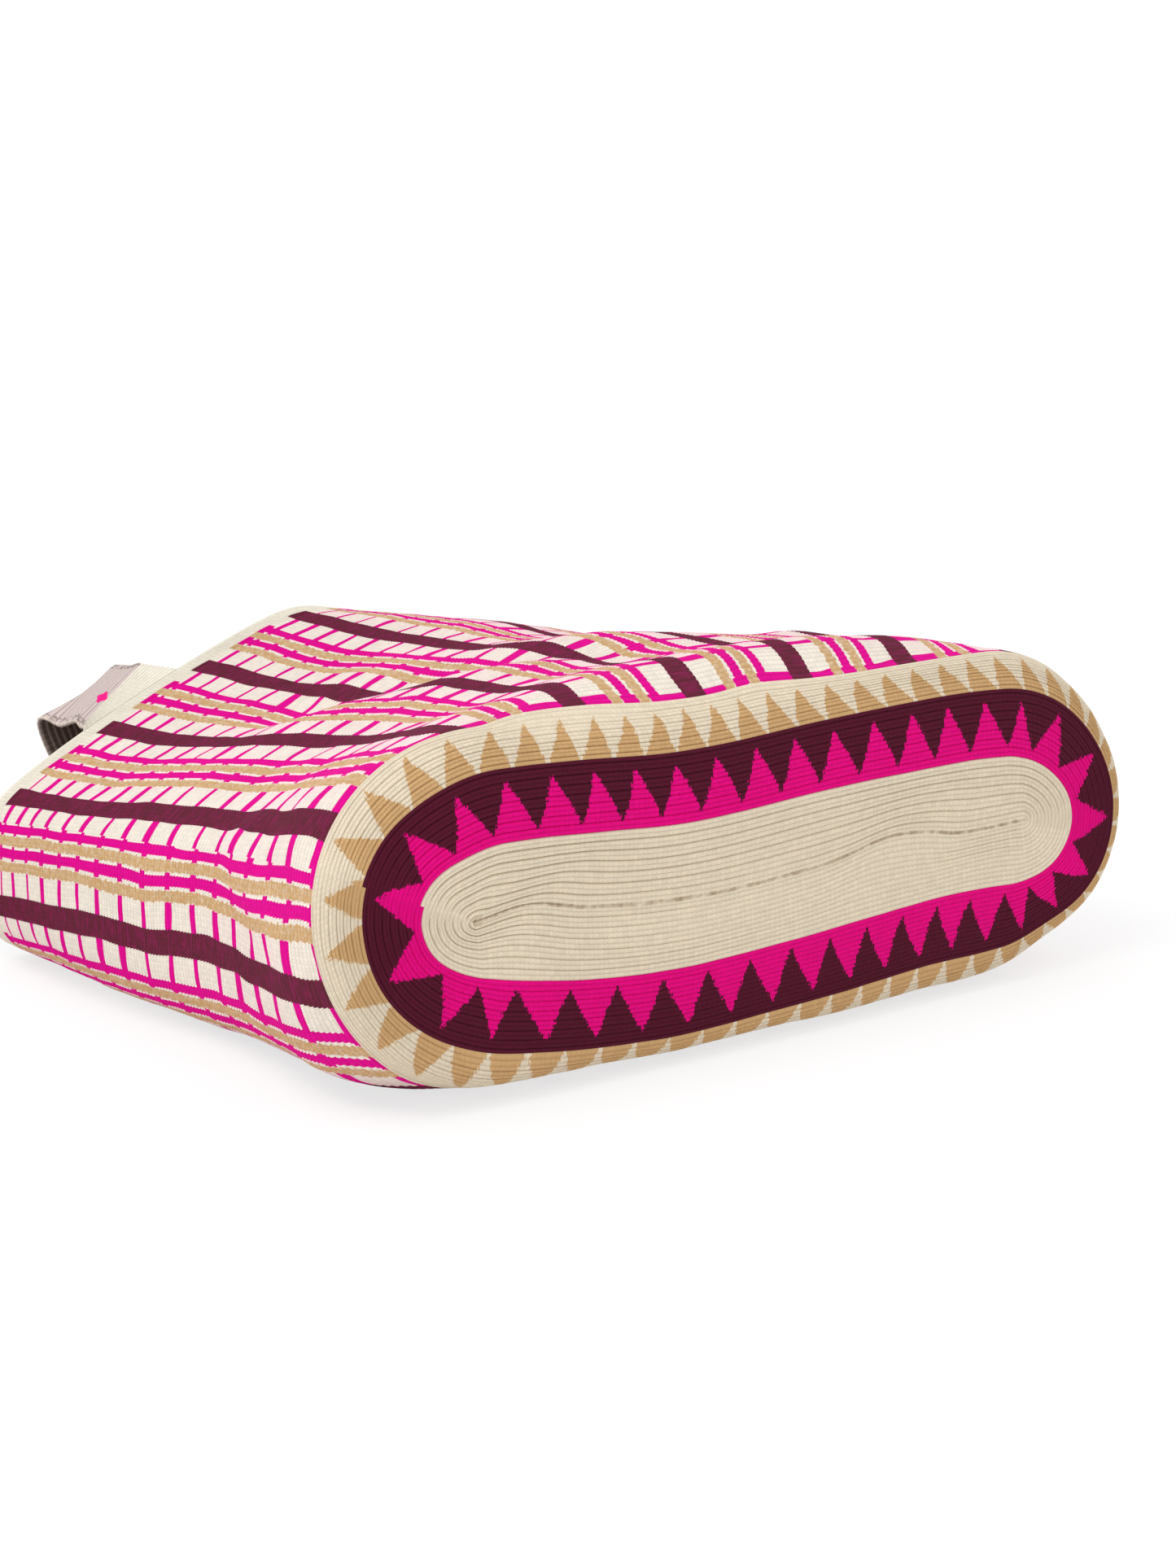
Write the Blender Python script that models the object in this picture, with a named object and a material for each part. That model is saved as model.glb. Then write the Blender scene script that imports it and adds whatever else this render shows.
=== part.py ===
"""A crocheted tote bag, lying on its wide side with its oval base upright.

The body is one piece of crochet, worked in rounds from the middle of the base to the rim of the mouth,
so it is lofted round by round here as well: down the outside from the base to the rim, over the rim and
back down the inside. Two woven shoulder straps hang from crocheted tabs on the rim.

Metres. X runs along the base, from its left end to its right end. Y runs from the base to the mouth.
Z is up. The origin is on the floor that the bag lies on, under its middle. The sizes and places below count
Y from the base's face.
"""

import math

import bmesh
import bpy
import numpy as np
from mathutils import Vector

# The base, seen square on. A round is a straight run with a cap at each end.
RUN_HALF = 0.1368  # half of the straight run, from the middle to a cap's centre
CREAM_REACH = 0.0404  # how far each zone's cap reaches past the run
MAROON_REACH = 0.0680
BORDER_REACH = 0.0819
CREAM_HEIGHT = 0.0590  # each zone's height, from its lowest point to its highest
MAROON_HEIGHT = 0.1194
BASE_HEIGHT = 0.1506
BASE_MIDDLE = 0.51  # share of the base's height that lies below its middle
EDGE_DEPTH = 0.0146  # how far the border rolls back from the base's face
BASE_BOW = 0.0053  # how far the base curves back at its ends
BASE_SLOPE = -0.0018  # its long lines rise by this from the middle to the right end,
BASE_SMILE = 0.0038  # by this towards both ends,
BASE_DROOP = -0.0119  # and by this close to the right end, and fall as much close to the left
BASE_TAPER = 0.027  # share of its height that it loses at the right end, and gains at the left
BORDER_TUCK = 0.0377  # share of its lower half's height by which the border is tucked under at its middle

# The wall
BAG_DEPTH = 0.308  # from the base's face to the rim
MIDDLE = 0.16  # the origin lies this far from the base's face
WALL = 0.0032  # thickness of the crochet
FLAT_BELOW = 0.0016  # the underside is pressed flat up to this height
TURN = 0.0169  # share of a round from its left end to the first stripe
TWIST = 0.0186  # share of a round that the wall's first rounds are turned on by
CAP_SPREAD = 0.111  # how much wider the wall's stitches lie at the ends of its first rounds

# Sections of the wall: share of the wall's depth, half length and side height and crown rise as shares of
# the base's half length and height, how full the crown and the belly are (2 is an ellipse, more is boxy), and
# how far the crown leans to the right, as a share of the base's half length.
WALL_SECTIONS = (
    (0.09, 0.968, 0.660, 0.426, 2.33, 5.18, -0.106),
    (0.22, 0.922, 0.657, 0.374, 2.07, 6.31, -0.014),
    (0.38, 0.873, 0.614, 0.419, 1.50, 7.78, 0.006),
    (0.56, 0.869, 0.569, 0.381, 1.43, 9.05, -0.006),
    (0.76, 0.874, 0.529, 0.401, 1.20, 8.43, 0.059),
    (1.00, 0.850, 0.446, 0.473, 1.13, 8.81, -0.070),
)

# Folds of the wall: from (round share, depth share) to (round share, depth share), half width as a share
# of a round, and height, which is below zero for a valley.
FOLDS = (
    ((0.215, 0.30), (0.120, 0.66), 0.022, -0.0053),
    ((0.120, 0.14), (0.075, 0.42), 0.020, -0.0017),
    ((0.020, 0.20), (-0.010, 0.62), 0.018, 0.0005),
    ((-0.030, 0.10), (0.000, 0.30), 0.016, 0.0038),
    ((0.330, 0.30), (0.400, 0.60), 0.020, 0.0034),
    ((0.440, 0.10), (0.480, 0.55), 0.020, -0.0026),
    ((0.530, 0.15), (0.515, 0.50), 0.016, 0.0025),
)

# Crochet rounds, and how they show on the solid
CREAM_ROUNDS = 14
PATTERN_ROUNDS = 15  # the pink and maroon zone
BORDER_ROUNDS = 13
RIDGE = 0.0005  # height of a ridge between two grooves on the base
STEPS_ROUND = 80  # facets in a round, a multiple of the wall's columns
COLUMNS = 16
WALL_STEPS = 17
LIP = 0.0020  # how far the rim's rolled edge stands out past the wall

# The straps and the tabs that carry them
CLEARANCE = 0.0003  # gap between pieces that touch
TAB_MIDDLE = 0.229  # share of a round from the left end to the middle between the upper tabs
TAB_REACH = 0.126  # share of a round from there to each of them
TAB_WIDTH = 0.056
TAB_DEPTH = 0.012
TAB_THICKNESS = 0.0042
TAB_SKEW = 0.38  # a tab's far edge slants by this share of its width
STRAP_WIDTH = 0.048
STRAP_THICKNESS = 0.0028
STRAP_STEPS = 34  # along each half of a strap

# The bends of each strap between its tabs. Each has a place of its middle line, counted in strap widths from the
# floor under the middle of the rim, and the way that its width points there.
UPPER_STRAP = (
    ((-2.20, 0.66, 2.12), (0.89, 0.00, 0.46)),
    ((-2.20, 0.83, 2.06), (0.93, 0.00, 0.37)),
    ((-2.16, 0.87, 1.94), (0.93, 0.00, 0.37)),
    ((-2.07, 0.84, 1.67), (0.93, 0.05, 0.35)),
    ((-1.97, 0.80, 1.37), (0.90, 0.25, 0.28)),
    ((-1.87, 0.81, 1.06), (0.76, 0.62, 0.10)),
    ((-1.76, 0.89, 0.75), (0.50, 0.86, 0.00)),
    ((-1.61, 1.00, 0.45), (0.22, 0.97, 0.00)),
    ((-1.36, 1.08, 0.19), (0.04, 1.00, 0.00)),
    ((-0.94, 1.10, 0.05), (0.00, 1.00, 0.00)),
    ((0.06, 1.22, 0.62), (0.00, 1.00, 0.00)),
    ((1.06, 1.10, 0.05), (0.00, 1.00, 0.00)),
    ((1.51, 1.08, 0.19), (-0.05, 1.00, 0.00)),
    ((1.81, 1.00, 0.50), (-0.30, 0.95, 0.00)),
    ((2.03, 0.83, 0.88), (-0.65, 0.76, 0.00)),
    ((2.16, 0.73, 1.21), (-0.90, 0.40, 0.00)),
    ((2.19, 0.73, 1.53), (-0.97, 0.12, 0.15)),
    ((2.19, 0.67, 1.80), (-0.95, 0.00, 0.28)),
)
LOWER_STRAP = (
    ((-2.39, 0.71, 0.00), (1.00, 0.00, 0.04)),
    ((-2.44, 0.90, 0.00), (0.94, 0.00, 0.34)),
    ((-2.48, 1.08, 0.00), (0.70, 0.00, 0.71)),
    ((-2.46, 1.35, 0.00), (0.30, 0.00, 0.95)),
    ((-2.27, 1.65, 0.00), (0.00, 0.00, 1.00)),
    ((-1.84, 1.93, 0.00), (0.00, 0.00, 1.00)),
    ((-1.20, 2.30, 0.00), (0.00, 0.00, 1.00)),
    ((0.04, 2.46, 0.00), (0.00, 0.00, 1.00)),
    ((1.28, 2.34, 0.00), (0.00, 0.00, 1.00)),
    ((2.14, 2.02, 0.00), (0.00, 0.00, 1.00)),
    ((2.62, 1.71, 0.00), (0.00, 0.00, 1.00)),
    ((2.73, 1.40, 0.00), (-0.30, 0.00, 0.95)),
    ((2.62, 1.12, 0.00), (-0.70, 0.00, 0.71)),
    ((2.48, 0.92, 0.00), (-0.94, 0.00, 0.34)),
    ((2.38, 0.71, 0.00), (-1.00, 0.00, 0.04)),
)

BASE_HALF = RUN_HALF + BORDER_REACH


def clear_scene():
    for thing in list(bpy.data.objects):
        bpy.data.objects.remove(thing, do_unlink=True)


def plain_material(name, colour, roughness):
    material = bpy.data.materials.new(name)
    material.use_nodes = True
    shader = material.node_tree.nodes["Principled BSDF"]
    shader.inputs["Base Color"].default_value = (*colour, 1.0)
    shader.inputs["Roughness"].default_value = roughness
    shader.inputs["Metallic"].default_value = 0.0
    return material


def smooth_through(stations, values, where):
    """A smooth curve through values that stand at uneven stations."""
    stations = np.asarray(stations, float)
    values = np.asarray(values, float)
    slopes = np.empty_like(values)
    slopes[0] = (values[1] - values[0]) / (stations[1] - stations[0])
    slopes[-1] = (values[-1] - values[-2]) / (stations[-1] - stations[-2])
    for k in range(1, len(stations) - 1):
        slopes[k] = (values[k + 1] - values[k - 1]) / (stations[k + 1] - stations[k - 1])
    k = int(np.clip(np.searchsorted(stations, where, side="right") - 1, 0, len(stations) - 2))
    span = stations[k + 1] - stations[k]
    s = (where - stations[k]) / span
    return (
        (2 * s**3 - 3 * s**2 + 1) * values[k]
        + (s**3 - 2 * s**2 + s) * span * slopes[k]
        + (3 * s**2 - 2 * s**3) * values[k + 1]
        + (s**3 - s**2) * span * slopes[k + 1]
    )


def along_curve(points, shares):
    """Points of a closed curve at these shares of its length."""
    closed = np.concatenate([points, points[:1]])
    length = np.concatenate([[0], np.cumsum(np.linalg.norm(np.diff(closed, axis=0), axis=1))])
    at = np.mod(shares, 1) * length[-1]
    return np.stack([np.interp(at, length, closed[:, k]) for k in range(closed.shape[1])], axis=1)


def round_shares(depth_share):
    """Where a round's stitches lie along it. Its first rounds are spread at the ends and turned a little."""
    even = np.arange(STEPS_ROUND) / STEPS_ROUND
    near_base = 1 - depth_share
    spread = CAP_SPREAD * near_base**2 / (4 * math.pi)
    return even + spread * np.sin(4 * math.pi * even) + TWIST * near_base**8


def base_round(reach, height, depth, tuck=0.0):
    """A round of the base: a straight run with a cap at each end, bent as the stuffed base is.
    It starts at the left end and goes over the top, and its stitches line up with the wall's first round."""
    fine = 720
    cap = math.pi * BASE_HEIGHT / 2
    corner = [0, cap / 2, cap / 2 + 2 * RUN_HALF, 1.5 * cap + 2 * RUN_HALF, 1.5 * cap + 4 * RUN_HALF]
    total = 2 * cap + 4 * RUN_HALF
    points = np.zeros((fine, 2))
    for i in range(fine):
        at = i / fine * total
        if at < corner[1] or at >= corner[4]:
            angle = math.pi - (at if at < corner[1] else at - total) / (BASE_HEIGHT / 2)
            points[i] = (-RUN_HALF + reach * math.cos(angle), height / 2 * math.sin(angle))
        elif at < corner[2]:
            points[i] = (-RUN_HALF + at - corner[1], height / 2)
        elif at < corner[3]:
            angle = math.pi / 2 - (at - corner[2]) / (BASE_HEIGHT / 2)
            points[i] = (RUN_HALF + reach * math.cos(angle), height / 2 * math.sin(angle))
        else:
            points[i] = (RUN_HALF - at + corner[3], -height / 2)
    shares = np.mod(round_shares(0.0), 1) * fine
    first = shares.astype(int)
    part = (shares - first)[:, None]
    points = points[first % fine] * (1 - part) + points[(first + 1) % fine] * part
    share = points[:, 0] / BASE_HALF
    lifted = 1 - tuck * np.maximum(1 + 3 * share**5, 0)  # the right end is tucked under the most
    points[:, 1] *= np.where(points[:, 1] < 0, lifted, 1)
    rise = BASE_SLOPE * share + BASE_SMILE * share**2 + BASE_DROOP * share**3
    z = BASE_HEIGHT * BASE_MIDDLE + points[:, 1] * (1 - BASE_TAPER * share) + rise
    return np.stack([points[:, 0], depth + BASE_BOW * share**2, z], axis=1)


def wall_round(share, half_length, side_height, crown_rise, crown, belly, lean):
    """A round of the wall: a rounded crown over a wide flat belly."""
    half_length *= BASE_HALF
    side_height *= BASE_HEIGHT
    crown_rise *= BASE_HEIGHT
    angle = math.pi - np.arange(720) / 720 * 2 * math.pi
    c, s = np.cos(angle), np.sin(angle)
    power = np.where(s >= 0, 2 / crown, 2 / belly)
    x = half_length * np.sign(c) * np.abs(c) ** power + lean * BASE_HALF * np.maximum(s, 0)
    z = side_height + np.where(s >= 0, crown_rise, side_height) * np.sign(s) * np.abs(s) ** power
    points = along_curve(np.stack([x, z], axis=1), round_shares(share))
    for _ in range(2):  # crochet rounds off the crown and the ends
        points = points / 2 + (np.roll(points, 1, axis=0) + np.roll(points, -1, axis=0)) / 4
    bow = BASE_BOW * (points[:, 0] / BASE_HALF) ** 2
    y = EDGE_DEPTH + share * (BAG_DEPTH - EDGE_DEPTH) + (1 - share) * bow
    return np.stack([points[:, 0], y, points[:, 1]], axis=1)


def main_rounds():
    """The rounds that shape the bag, each with its place along the profile from the base's middle to the rim."""
    between = (MAROON_REACH + 2 * BORDER_REACH) / 3
    between_height = (MAROON_HEIGHT + 2 * BASE_HEIGHT) / 3
    chain = CREAM_HEIGHT / CREAM_ROUNDS / 2
    rounds = [
        (0, base_round(chain, 2 * chain, 0.0)),
        (CREAM_ROUNDS, base_round(CREAM_REACH, CREAM_HEIGHT, -0.002)),
        (CREAM_ROUNDS + PATTERN_ROUNDS, base_round(MAROON_REACH, MAROON_HEIGHT, 0.0)),
        (CREAM_ROUNDS + PATTERN_ROUNDS + BORDER_ROUNDS / 2, base_round(between, between_height, EDGE_DEPTH / 4, BORDER_TUCK / 2)),
        (CREAM_ROUNDS + PATTERN_ROUNDS + BORDER_ROUNDS, base_round(BORDER_REACH, BASE_HEIGHT, EDGE_DEPTH, BORDER_TUCK)),
    ]
    start = rounds[-1][0]
    pitch = (BASE_HEIGHT - CREAM_HEIGHT) / 2 / (PATTERN_ROUNDS + BORDER_ROUNDS / 2)
    wall_rounds = (BAG_DEPTH - EDGE_DEPTH) / pitch
    for section in WALL_SECTIONS:
        rounds.append((start + section[0] * wall_rounds, wall_round(*section)))
    return rounds


def surface_normals(grid):
    """Unit normals of a grid of rounds, pointing out of the bag."""
    around = np.roll(grid, -1, axis=1) - np.roll(grid, 1, axis=1)
    down = np.gradient(grid, axis=0)
    normals = np.cross(around, down)
    return normals / np.maximum(np.linalg.norm(normals, axis=2, keepdims=True), 1e-12)


def fold_height(round_share, depth_share):
    """How far the folds push the wall out at this stitch."""
    height = 0.0
    for start, end, width, rise in FOLDS:
        line = np.subtract(end, start)
        away = np.array([(round_share - start[0] + 0.5) % 1 - 0.5, depth_share - start[1]])
        along = float(np.clip(away @ line / (line @ line), 0, 1))
        off = away - along * line
        # A round is about three times as long as the wall is deep.
        distance = math.hypot(off[0], off[1] / 3)
        height += rise * math.exp(-((distance / width) ** 2))
    return height


def outer_skin():
    """The outside as a grid of rounds, and each round's place along the profile."""
    rounds = main_rounds()
    stations = [place for place, _ in rounds]
    shapes = [shape for _, shape in rounds]
    wall_start = stations[-1 - len(WALL_SECTIONS)]
    places = list(np.arange(0, CREAM_ROUNDS + PATTERN_ROUNDS, 1.0))
    places += list(np.linspace(CREAM_ROUNDS + PATTERN_ROUNDS, wall_start, 6)[:-1])
    places += list(np.linspace(wall_start, stations[-1], WALL_STEPS))
    grid = np.array([smooth_through(stations, shapes, place) for place in places])
    normals = surface_normals(grid)
    for i, place in enumerate(places):
        depth_share = (place - wall_start) / (stations[-1] - wall_start)
        if depth_share < 0:
            ridged = place <= CREAM_ROUNDS + PATTERN_ROUNDS
            grid[i] += normals[i] * (RIDGE / 2 * (-1) ** i if ridged and i else 0.0)
            continue
        for j in range(STEPS_ROUND):
            grid[i, j] += normals[i, j] * fold_height(j / STEPS_ROUND, depth_share)
    grid[:, :, 2] = np.maximum(grid[:, :, 2] - FLAT_BELOW, 0.0)
    return grid, places, wall_start


def inner_skin(grid, places, wall_start):
    """The inside, from the rim back to the base's middle, with fewer rounds than the outside."""
    normals = surface_normals(grid)
    inner = grid - normals * WALL
    wanted = [places[-1]]
    for section in WALL_SECTIONS[-2::-1]:
        wanted.append(wall_start + section[0] * (places[-1] - wall_start))
    wanted += [wall_start, CREAM_ROUNDS + PATTERN_ROUNDS - 1, CREAM_ROUNDS, 0]
    nearest = [int(np.argmin(np.abs(np.array(places) - place))) for place in wanted]
    return [inner[i] for i in nearest]


def add_round(mesh, ring, points):
    """Extrudes the ring's edges and moves the new round to its points."""
    made = bmesh.ops.extrude_edge_only(mesh, edges=[edge for edge in mesh.edges if edge.tag])["geom"]
    old = {vert: index for index, vert in enumerate(ring)}
    new = [None] * len(ring)
    for edge in mesh.edges:
        edge.tag = False
    for item in made:
        if isinstance(item, bmesh.types.BMVert):
            parent = next(edge.other_vert(item) for edge in item.link_edges if edge.other_vert(item) in old)
            new[old[parent]] = item
    for vert, point in zip(new, points):
        vert.co = point
    for item in made:
        if isinstance(item, bmesh.types.BMEdge) and all(vert in new for vert in item.verts):
            item.tag = True
    return new


def close_middle(mesh, ring):
    """Joins the upper and lower halves of the base's first round with a strip of faces."""
    count = len(ring)
    for i in range(count // 2):
        corners = [ring[i], ring[i + 1], ring[(count - i - 1) % count], ring[(count - i) % count]]
        mesh.faces.new(list(dict.fromkeys(corners)))


def zone_of(place, column_step, wall_start):
    """The slot of the colour that shows at a round and a facet: the fields of the pattern."""
    if place < CREAM_ROUNDS:
        return 0
    if place < CREAM_ROUNDS + PATTERN_ROUNDS * 0.55:
        return 1
    if place < CREAM_ROUNDS + PATTERN_ROUNDS:
        return 2
    if place < CREAM_ROUNDS + PATTERN_ROUNDS + BORDER_ROUNDS * 0.5:
        return 3
    if place < wall_start:
        return 0
    return (2, 0, 3, 1, 0)[column_step]


def make_shell(materials):
    grid, places, wall_start = outer_skin()
    inner = inner_skin(grid, places, wall_start)
    lip = (grid[-1] + inner[0]) / 2 + np.array([0, LIP, 0])
    lip[:, 2] = np.maximum(lip[:, 2], WALL / 2)
    mesh = bmesh.new()
    ring = [mesh.verts.new(point) for point in grid[0]]
    for a, b in zip(ring, ring[1:] + ring[:1]):
        mesh.edges.new((a, b)).tag = True
    close_middle(mesh, ring)
    per_column = STEPS_ROUND // COLUMNS
    first_step = round(TURN * STEPS_ROUND)
    for place, points in zip(places, grid[1:]):
        before = set(mesh.faces)
        new = add_round(mesh, ring, points)
        for face in set(mesh.faces) - before:
            j = min(ring.index(vert) for vert in face.verts if vert in ring)
            if {ring[0], ring[-1]} <= set(face.verts):
                j = len(ring) - 1
            face.material_index = zone_of(place, (j - first_step) % per_column, wall_start)
        ring = new
    for points in [lip, *inner]:
        ring = add_round(mesh, ring, points)
    close_middle(mesh, ring)
    bmesh.ops.recalc_face_normals(mesh, faces=mesh.faces)
    return finish_object(mesh, "bag_shell", materials)


def finish_object(mesh, name, materials):
    bmesh.ops.translate(mesh, verts=mesh.verts, vec=(0, -MIDDLE, 0))
    data = bpy.data.meshes.new(name)
    mesh.to_mesh(data)
    mesh.free()
    for material in materials:
        data.materials.append(material)
    data.shade_smooth()
    data.set_sharp_from_angle(angle=math.radians(50))
    thing = bpy.data.objects.new(name, data)
    bpy.context.scene.collection.objects.link(thing)
    return thing


def ribbon(name, centres, sides, widths, skews, thickness, material):
    """A flat band with a six-cornered section, drawn along its centres. A side is the way the width points,
    and a skew is how far a section's end on that side is ahead of its middle, as a share of the width."""
    mesh = bmesh.new()
    ring = []
    count = len(centres)
    edge = thickness / 2
    for i in range(count):
        ahead = Vector(centres[min(i + 1, count - 1)]) - Vector(centres[max(i - 1, 0)])
        if i in (0, count - 1):  # each end is square to the tab or the rim that it meets
            ahead = Vector((0, math.copysign(1, ahead.y), 0))
        ahead.normalize()
        side = Vector(sides[i])
        side = (side - ahead * side.dot(ahead)).normalized()
        up = side.cross(ahead)
        side += ahead * skews[i]
        half = widths[i] / 2
        corners = ((-half, 0), (edge - half, edge), (half - edge, edge), (half, 0), (half - edge, -edge), (edge - half, -edge))
        points = [Vector(centres[i]) + side * a + up * b for a, b in corners]
        for point in points:
            point.z = max(point.z, 0.0)
        if not ring:
            ring = [mesh.verts.new(point) for point in points]
            cap = mesh.faces.new(ring)
            for border in cap.edges:
                border.tag = True
        else:
            ring = add_round(mesh, ring, points)
    mesh.faces.new(ring)
    bmesh.ops.recalc_face_normals(mesh, faces=mesh.faces)
    return finish_object(mesh, name, [material])


def rim_point(rim, share):
    """A point of the rim's middle line, and the way along the rim there."""
    at = share * len(rim)
    first = int(math.floor(at))
    part = at - first
    here = rim[first % len(rim)] * (1 - part) + rim[(first + 1) % len(rim)] * part
    ahead = rim[(first + 3) % len(rim)] - rim[(first - 2) % len(rim)]
    ahead[1] = 0
    return here, ahead / np.linalg.norm(ahead)


def make_tab(name, rim, share, material):
    """A crocheted tab that carries on from the rim. It returns its far edge: the middle, the way towards the
    bag's middle, and the skew."""
    middle, inwards = rim_point(rim, share)
    if middle[0] * inwards[0] > 0:
        inwards = -inwards
    start = middle + np.array([0, LIP + CLEARANCE, 0])
    start[2] = max(start[2], TAB_THICKNESS / 2)
    steps = 5
    centres = [start + np.array([0, TAB_DEPTH * i / (steps - 1), 0]) for i in range(steps)]
    widths = np.linspace(TAB_WIDTH, STRAP_WIDTH, steps)
    skews = np.linspace(0, TAB_SKEW, steps)
    ribbon(name, centres, [inwards] * steps, widths, skews, TAB_THICKNESS, material)
    return centres[-1], inwards


def make_strap(name, left_end, right_end, bends, material):
    """A strap from its left tab to its right one. Where it stands on its edge, the floor holds it up."""
    places, sides = [], []
    for at, side in bends:
        place = np.array(at) * STRAP_WIDTH + np.array([0, BAG_DEPTH, 0])
        side = np.array(side) / np.linalg.norm(side)
        stand = STRAP_WIDTH / 2 * abs(side[2]) + STRAP_THICKNESS / 2 + CLEARANCE
        place[2] = max(place[2], stand)
        places.append(place)
        sides.append(side)
    for (middle, inwards), order in ((left_end, 1), (right_end, -1)):
        tip = middle + np.array([0, CLEARANCE, 0])
        ends = [tip, tip + np.array([0, STRAP_WIDTH / 8, 0])][::order]
        places = ends + places if order == 1 else places + ends
        sides = [inwards] * 2 + sides if order == 1 else sides + [inwards] * 2
    length = np.concatenate([[0], np.cumsum(np.linalg.norm(np.diff(places, axis=0), axis=1))])
    even = np.linspace(-1, 1, 2 * STRAP_STEPS + 1)
    at = length[-1] / 2 * (1 + 1.25 * even - 0.25 * even**3)  # closer near the tabs, where the folds are tight
    centres = [smooth_through(length, places, s) for s in at]
    turned = [smooth_through(length, sides, s) for s in at]
    near_left = np.clip(1 - at / STRAP_WIDTH, 0, 1)
    near_right = np.clip(1 - (length[-1] - at) / STRAP_WIDTH, 0, 1)
    skews = TAB_SKEW * (near_left - near_right)
    return ribbon(name, centres, turned, [STRAP_WIDTH] * len(centres), skews, STRAP_THICKNESS, material)


def main():
    clear_scene()
    cream = plain_material("cream crochet", (0.80, 0.70, 0.55), 0.9)
    pink = plain_material("pink crochet", (0.75, 0.0, 0.22), 0.85)
    maroon = plain_material("maroon crochet", (0.085, 0.006, 0.022), 0.85)
    tan = plain_material("tan crochet", (0.58, 0.35, 0.15), 0.9)
    band = plain_material("woven strap", (0.45, 0.36, 0.33), 0.8)
    make_shell([cream, pink, maroon, tan])

    grid, _, _ = outer_skin()
    rim = grid[-1] - surface_normals(grid)[-1] * WALL / 2
    lower = TAB_MIDDLE + 0.5
    for face, left, right, bends in (
        ("upper", TAB_MIDDLE - TAB_REACH, TAB_MIDDLE + TAB_REACH, UPPER_STRAP),
        ("lower", lower + TAB_REACH, lower - TAB_REACH, LOWER_STRAP),
    ):
        left_end = make_tab(f"strap_tab_{face}_left", rim, left, cream)
        right_end = make_tab(f"strap_tab_{face}_right", rim, right, cream)
        make_strap(f"strap_{face}", left_end, right_end, bends, band)


main()
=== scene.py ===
"""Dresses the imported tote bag: crocheted base, wall, tabs and woven straps, and a plain stage for them.

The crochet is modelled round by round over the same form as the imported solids. Each piece carries a UV map
that counts stitches round the bag and rounds from the middle of the base, and its pattern is worked out
from those counts, as a crochet chart is.
"""

import math

import bmesh
import bpy
import numpy as np
from bpy.props import FloatProperty, FloatVectorProperty, PointerProperty
from mathutils import Matrix, Vector, noise


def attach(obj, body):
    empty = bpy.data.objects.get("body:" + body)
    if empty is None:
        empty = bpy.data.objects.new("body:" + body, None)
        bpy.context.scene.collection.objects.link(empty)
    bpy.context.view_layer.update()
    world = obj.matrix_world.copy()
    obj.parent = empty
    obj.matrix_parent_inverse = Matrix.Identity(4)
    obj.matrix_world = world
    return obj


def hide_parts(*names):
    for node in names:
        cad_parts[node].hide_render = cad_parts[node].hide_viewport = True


bl_info = {
    "name": "Crocheted Tote Bag",
    "version": (1, 0, 0),
    "blender": (4, 5, 0),
    "location": "3D View > Sidebar > Tote Bag",
    "description": "Crochets an oval-based tote bag with woven straps over its packed solids",
    "category": "Add Mesh",
}

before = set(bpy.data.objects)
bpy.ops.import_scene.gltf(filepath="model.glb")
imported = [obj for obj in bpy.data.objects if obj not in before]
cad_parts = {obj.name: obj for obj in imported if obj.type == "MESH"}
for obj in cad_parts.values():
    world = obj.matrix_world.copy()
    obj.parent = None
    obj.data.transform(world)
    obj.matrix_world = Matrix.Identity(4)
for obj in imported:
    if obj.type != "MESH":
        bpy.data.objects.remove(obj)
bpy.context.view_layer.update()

# Rounds of crochet, counted from the middle of the base to the rim
CREAM_ROUNDS = 14
TEETH_ROUNDS = 15
BORDER_ROUNDS = 13
TEETH_END = CREAM_ROUNDS + TEETH_ROUNDS
BASE_ROUNDS = TEETH_END + BORDER_ROUNDS
WALL_ROUNDS = 140
PATTERN_END = BASE_ROUNDS + 134
RIM_ROUND = BASE_ROUNDS + WALL_ROUNDS
COLUMNS = 16
COLUMN_STITCHES = 24
ROUND_STITCHES = COLUMNS * COLUMN_STITCHES
STITCH_WIDTH = 0.0026

# Where the teeth stand: shares of the round, and the count of teeth there. The left end is share 0.
TEETH_PLACES = (
    (0.017, 0.5), (0.056, 1.5), (0.119, 3.5), (0.225, 8.5), (0.310, 12.5), (0.397, 16.5), (0.463, 18.5),
    (0.546, 20.5), (0.615, 23.0), (0.664, 25.5), (0.724, 28.5), (0.791, 31.5), (0.864, 34.5), (0.926, 36.5),
)
TEETH_TOTAL = 38
BORDER_PLACES = (
    (-0.098, -3.5), (0.095, 5.5), (0.257, 15.3), (0.437, 26.5), (0.617, 38.0), (0.696, 43.0), (0.781, 48.0),
    (0.852, 52.0),
)
BORDER_TOTAL = 58
# How many rounds the base's rounds stray outwards at shares of the round, as hand work does. They start to
# over the first rounds, and stop between the last two rounds given.
STRAY_ROUNDS = (9, 32, 42)
STRAY = (
    (0.00, 0.4), (0.04, 0.3), (0.08, -0.3), (0.13, 0.9), (0.16, 0.8), (0.20, -0.3), (0.23, -0.2),
    (0.27, 0.6), (0.32, 1.2), (0.36, 1.3), (0.40, 0.5), (0.45, -0.2), (0.50, 0.0), (0.55, 0.0),
    (0.60, -1.0), (0.65, -1.4), (0.69, -0.4), (0.73, 0.6), (0.78, 1.5), (0.81, 1.4), (0.84, 0.5),
    (0.87, -0.9), (0.90, -2.1), (0.93, -1.7), (0.97, -0.2), (1.00, 0.4),
)
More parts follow.
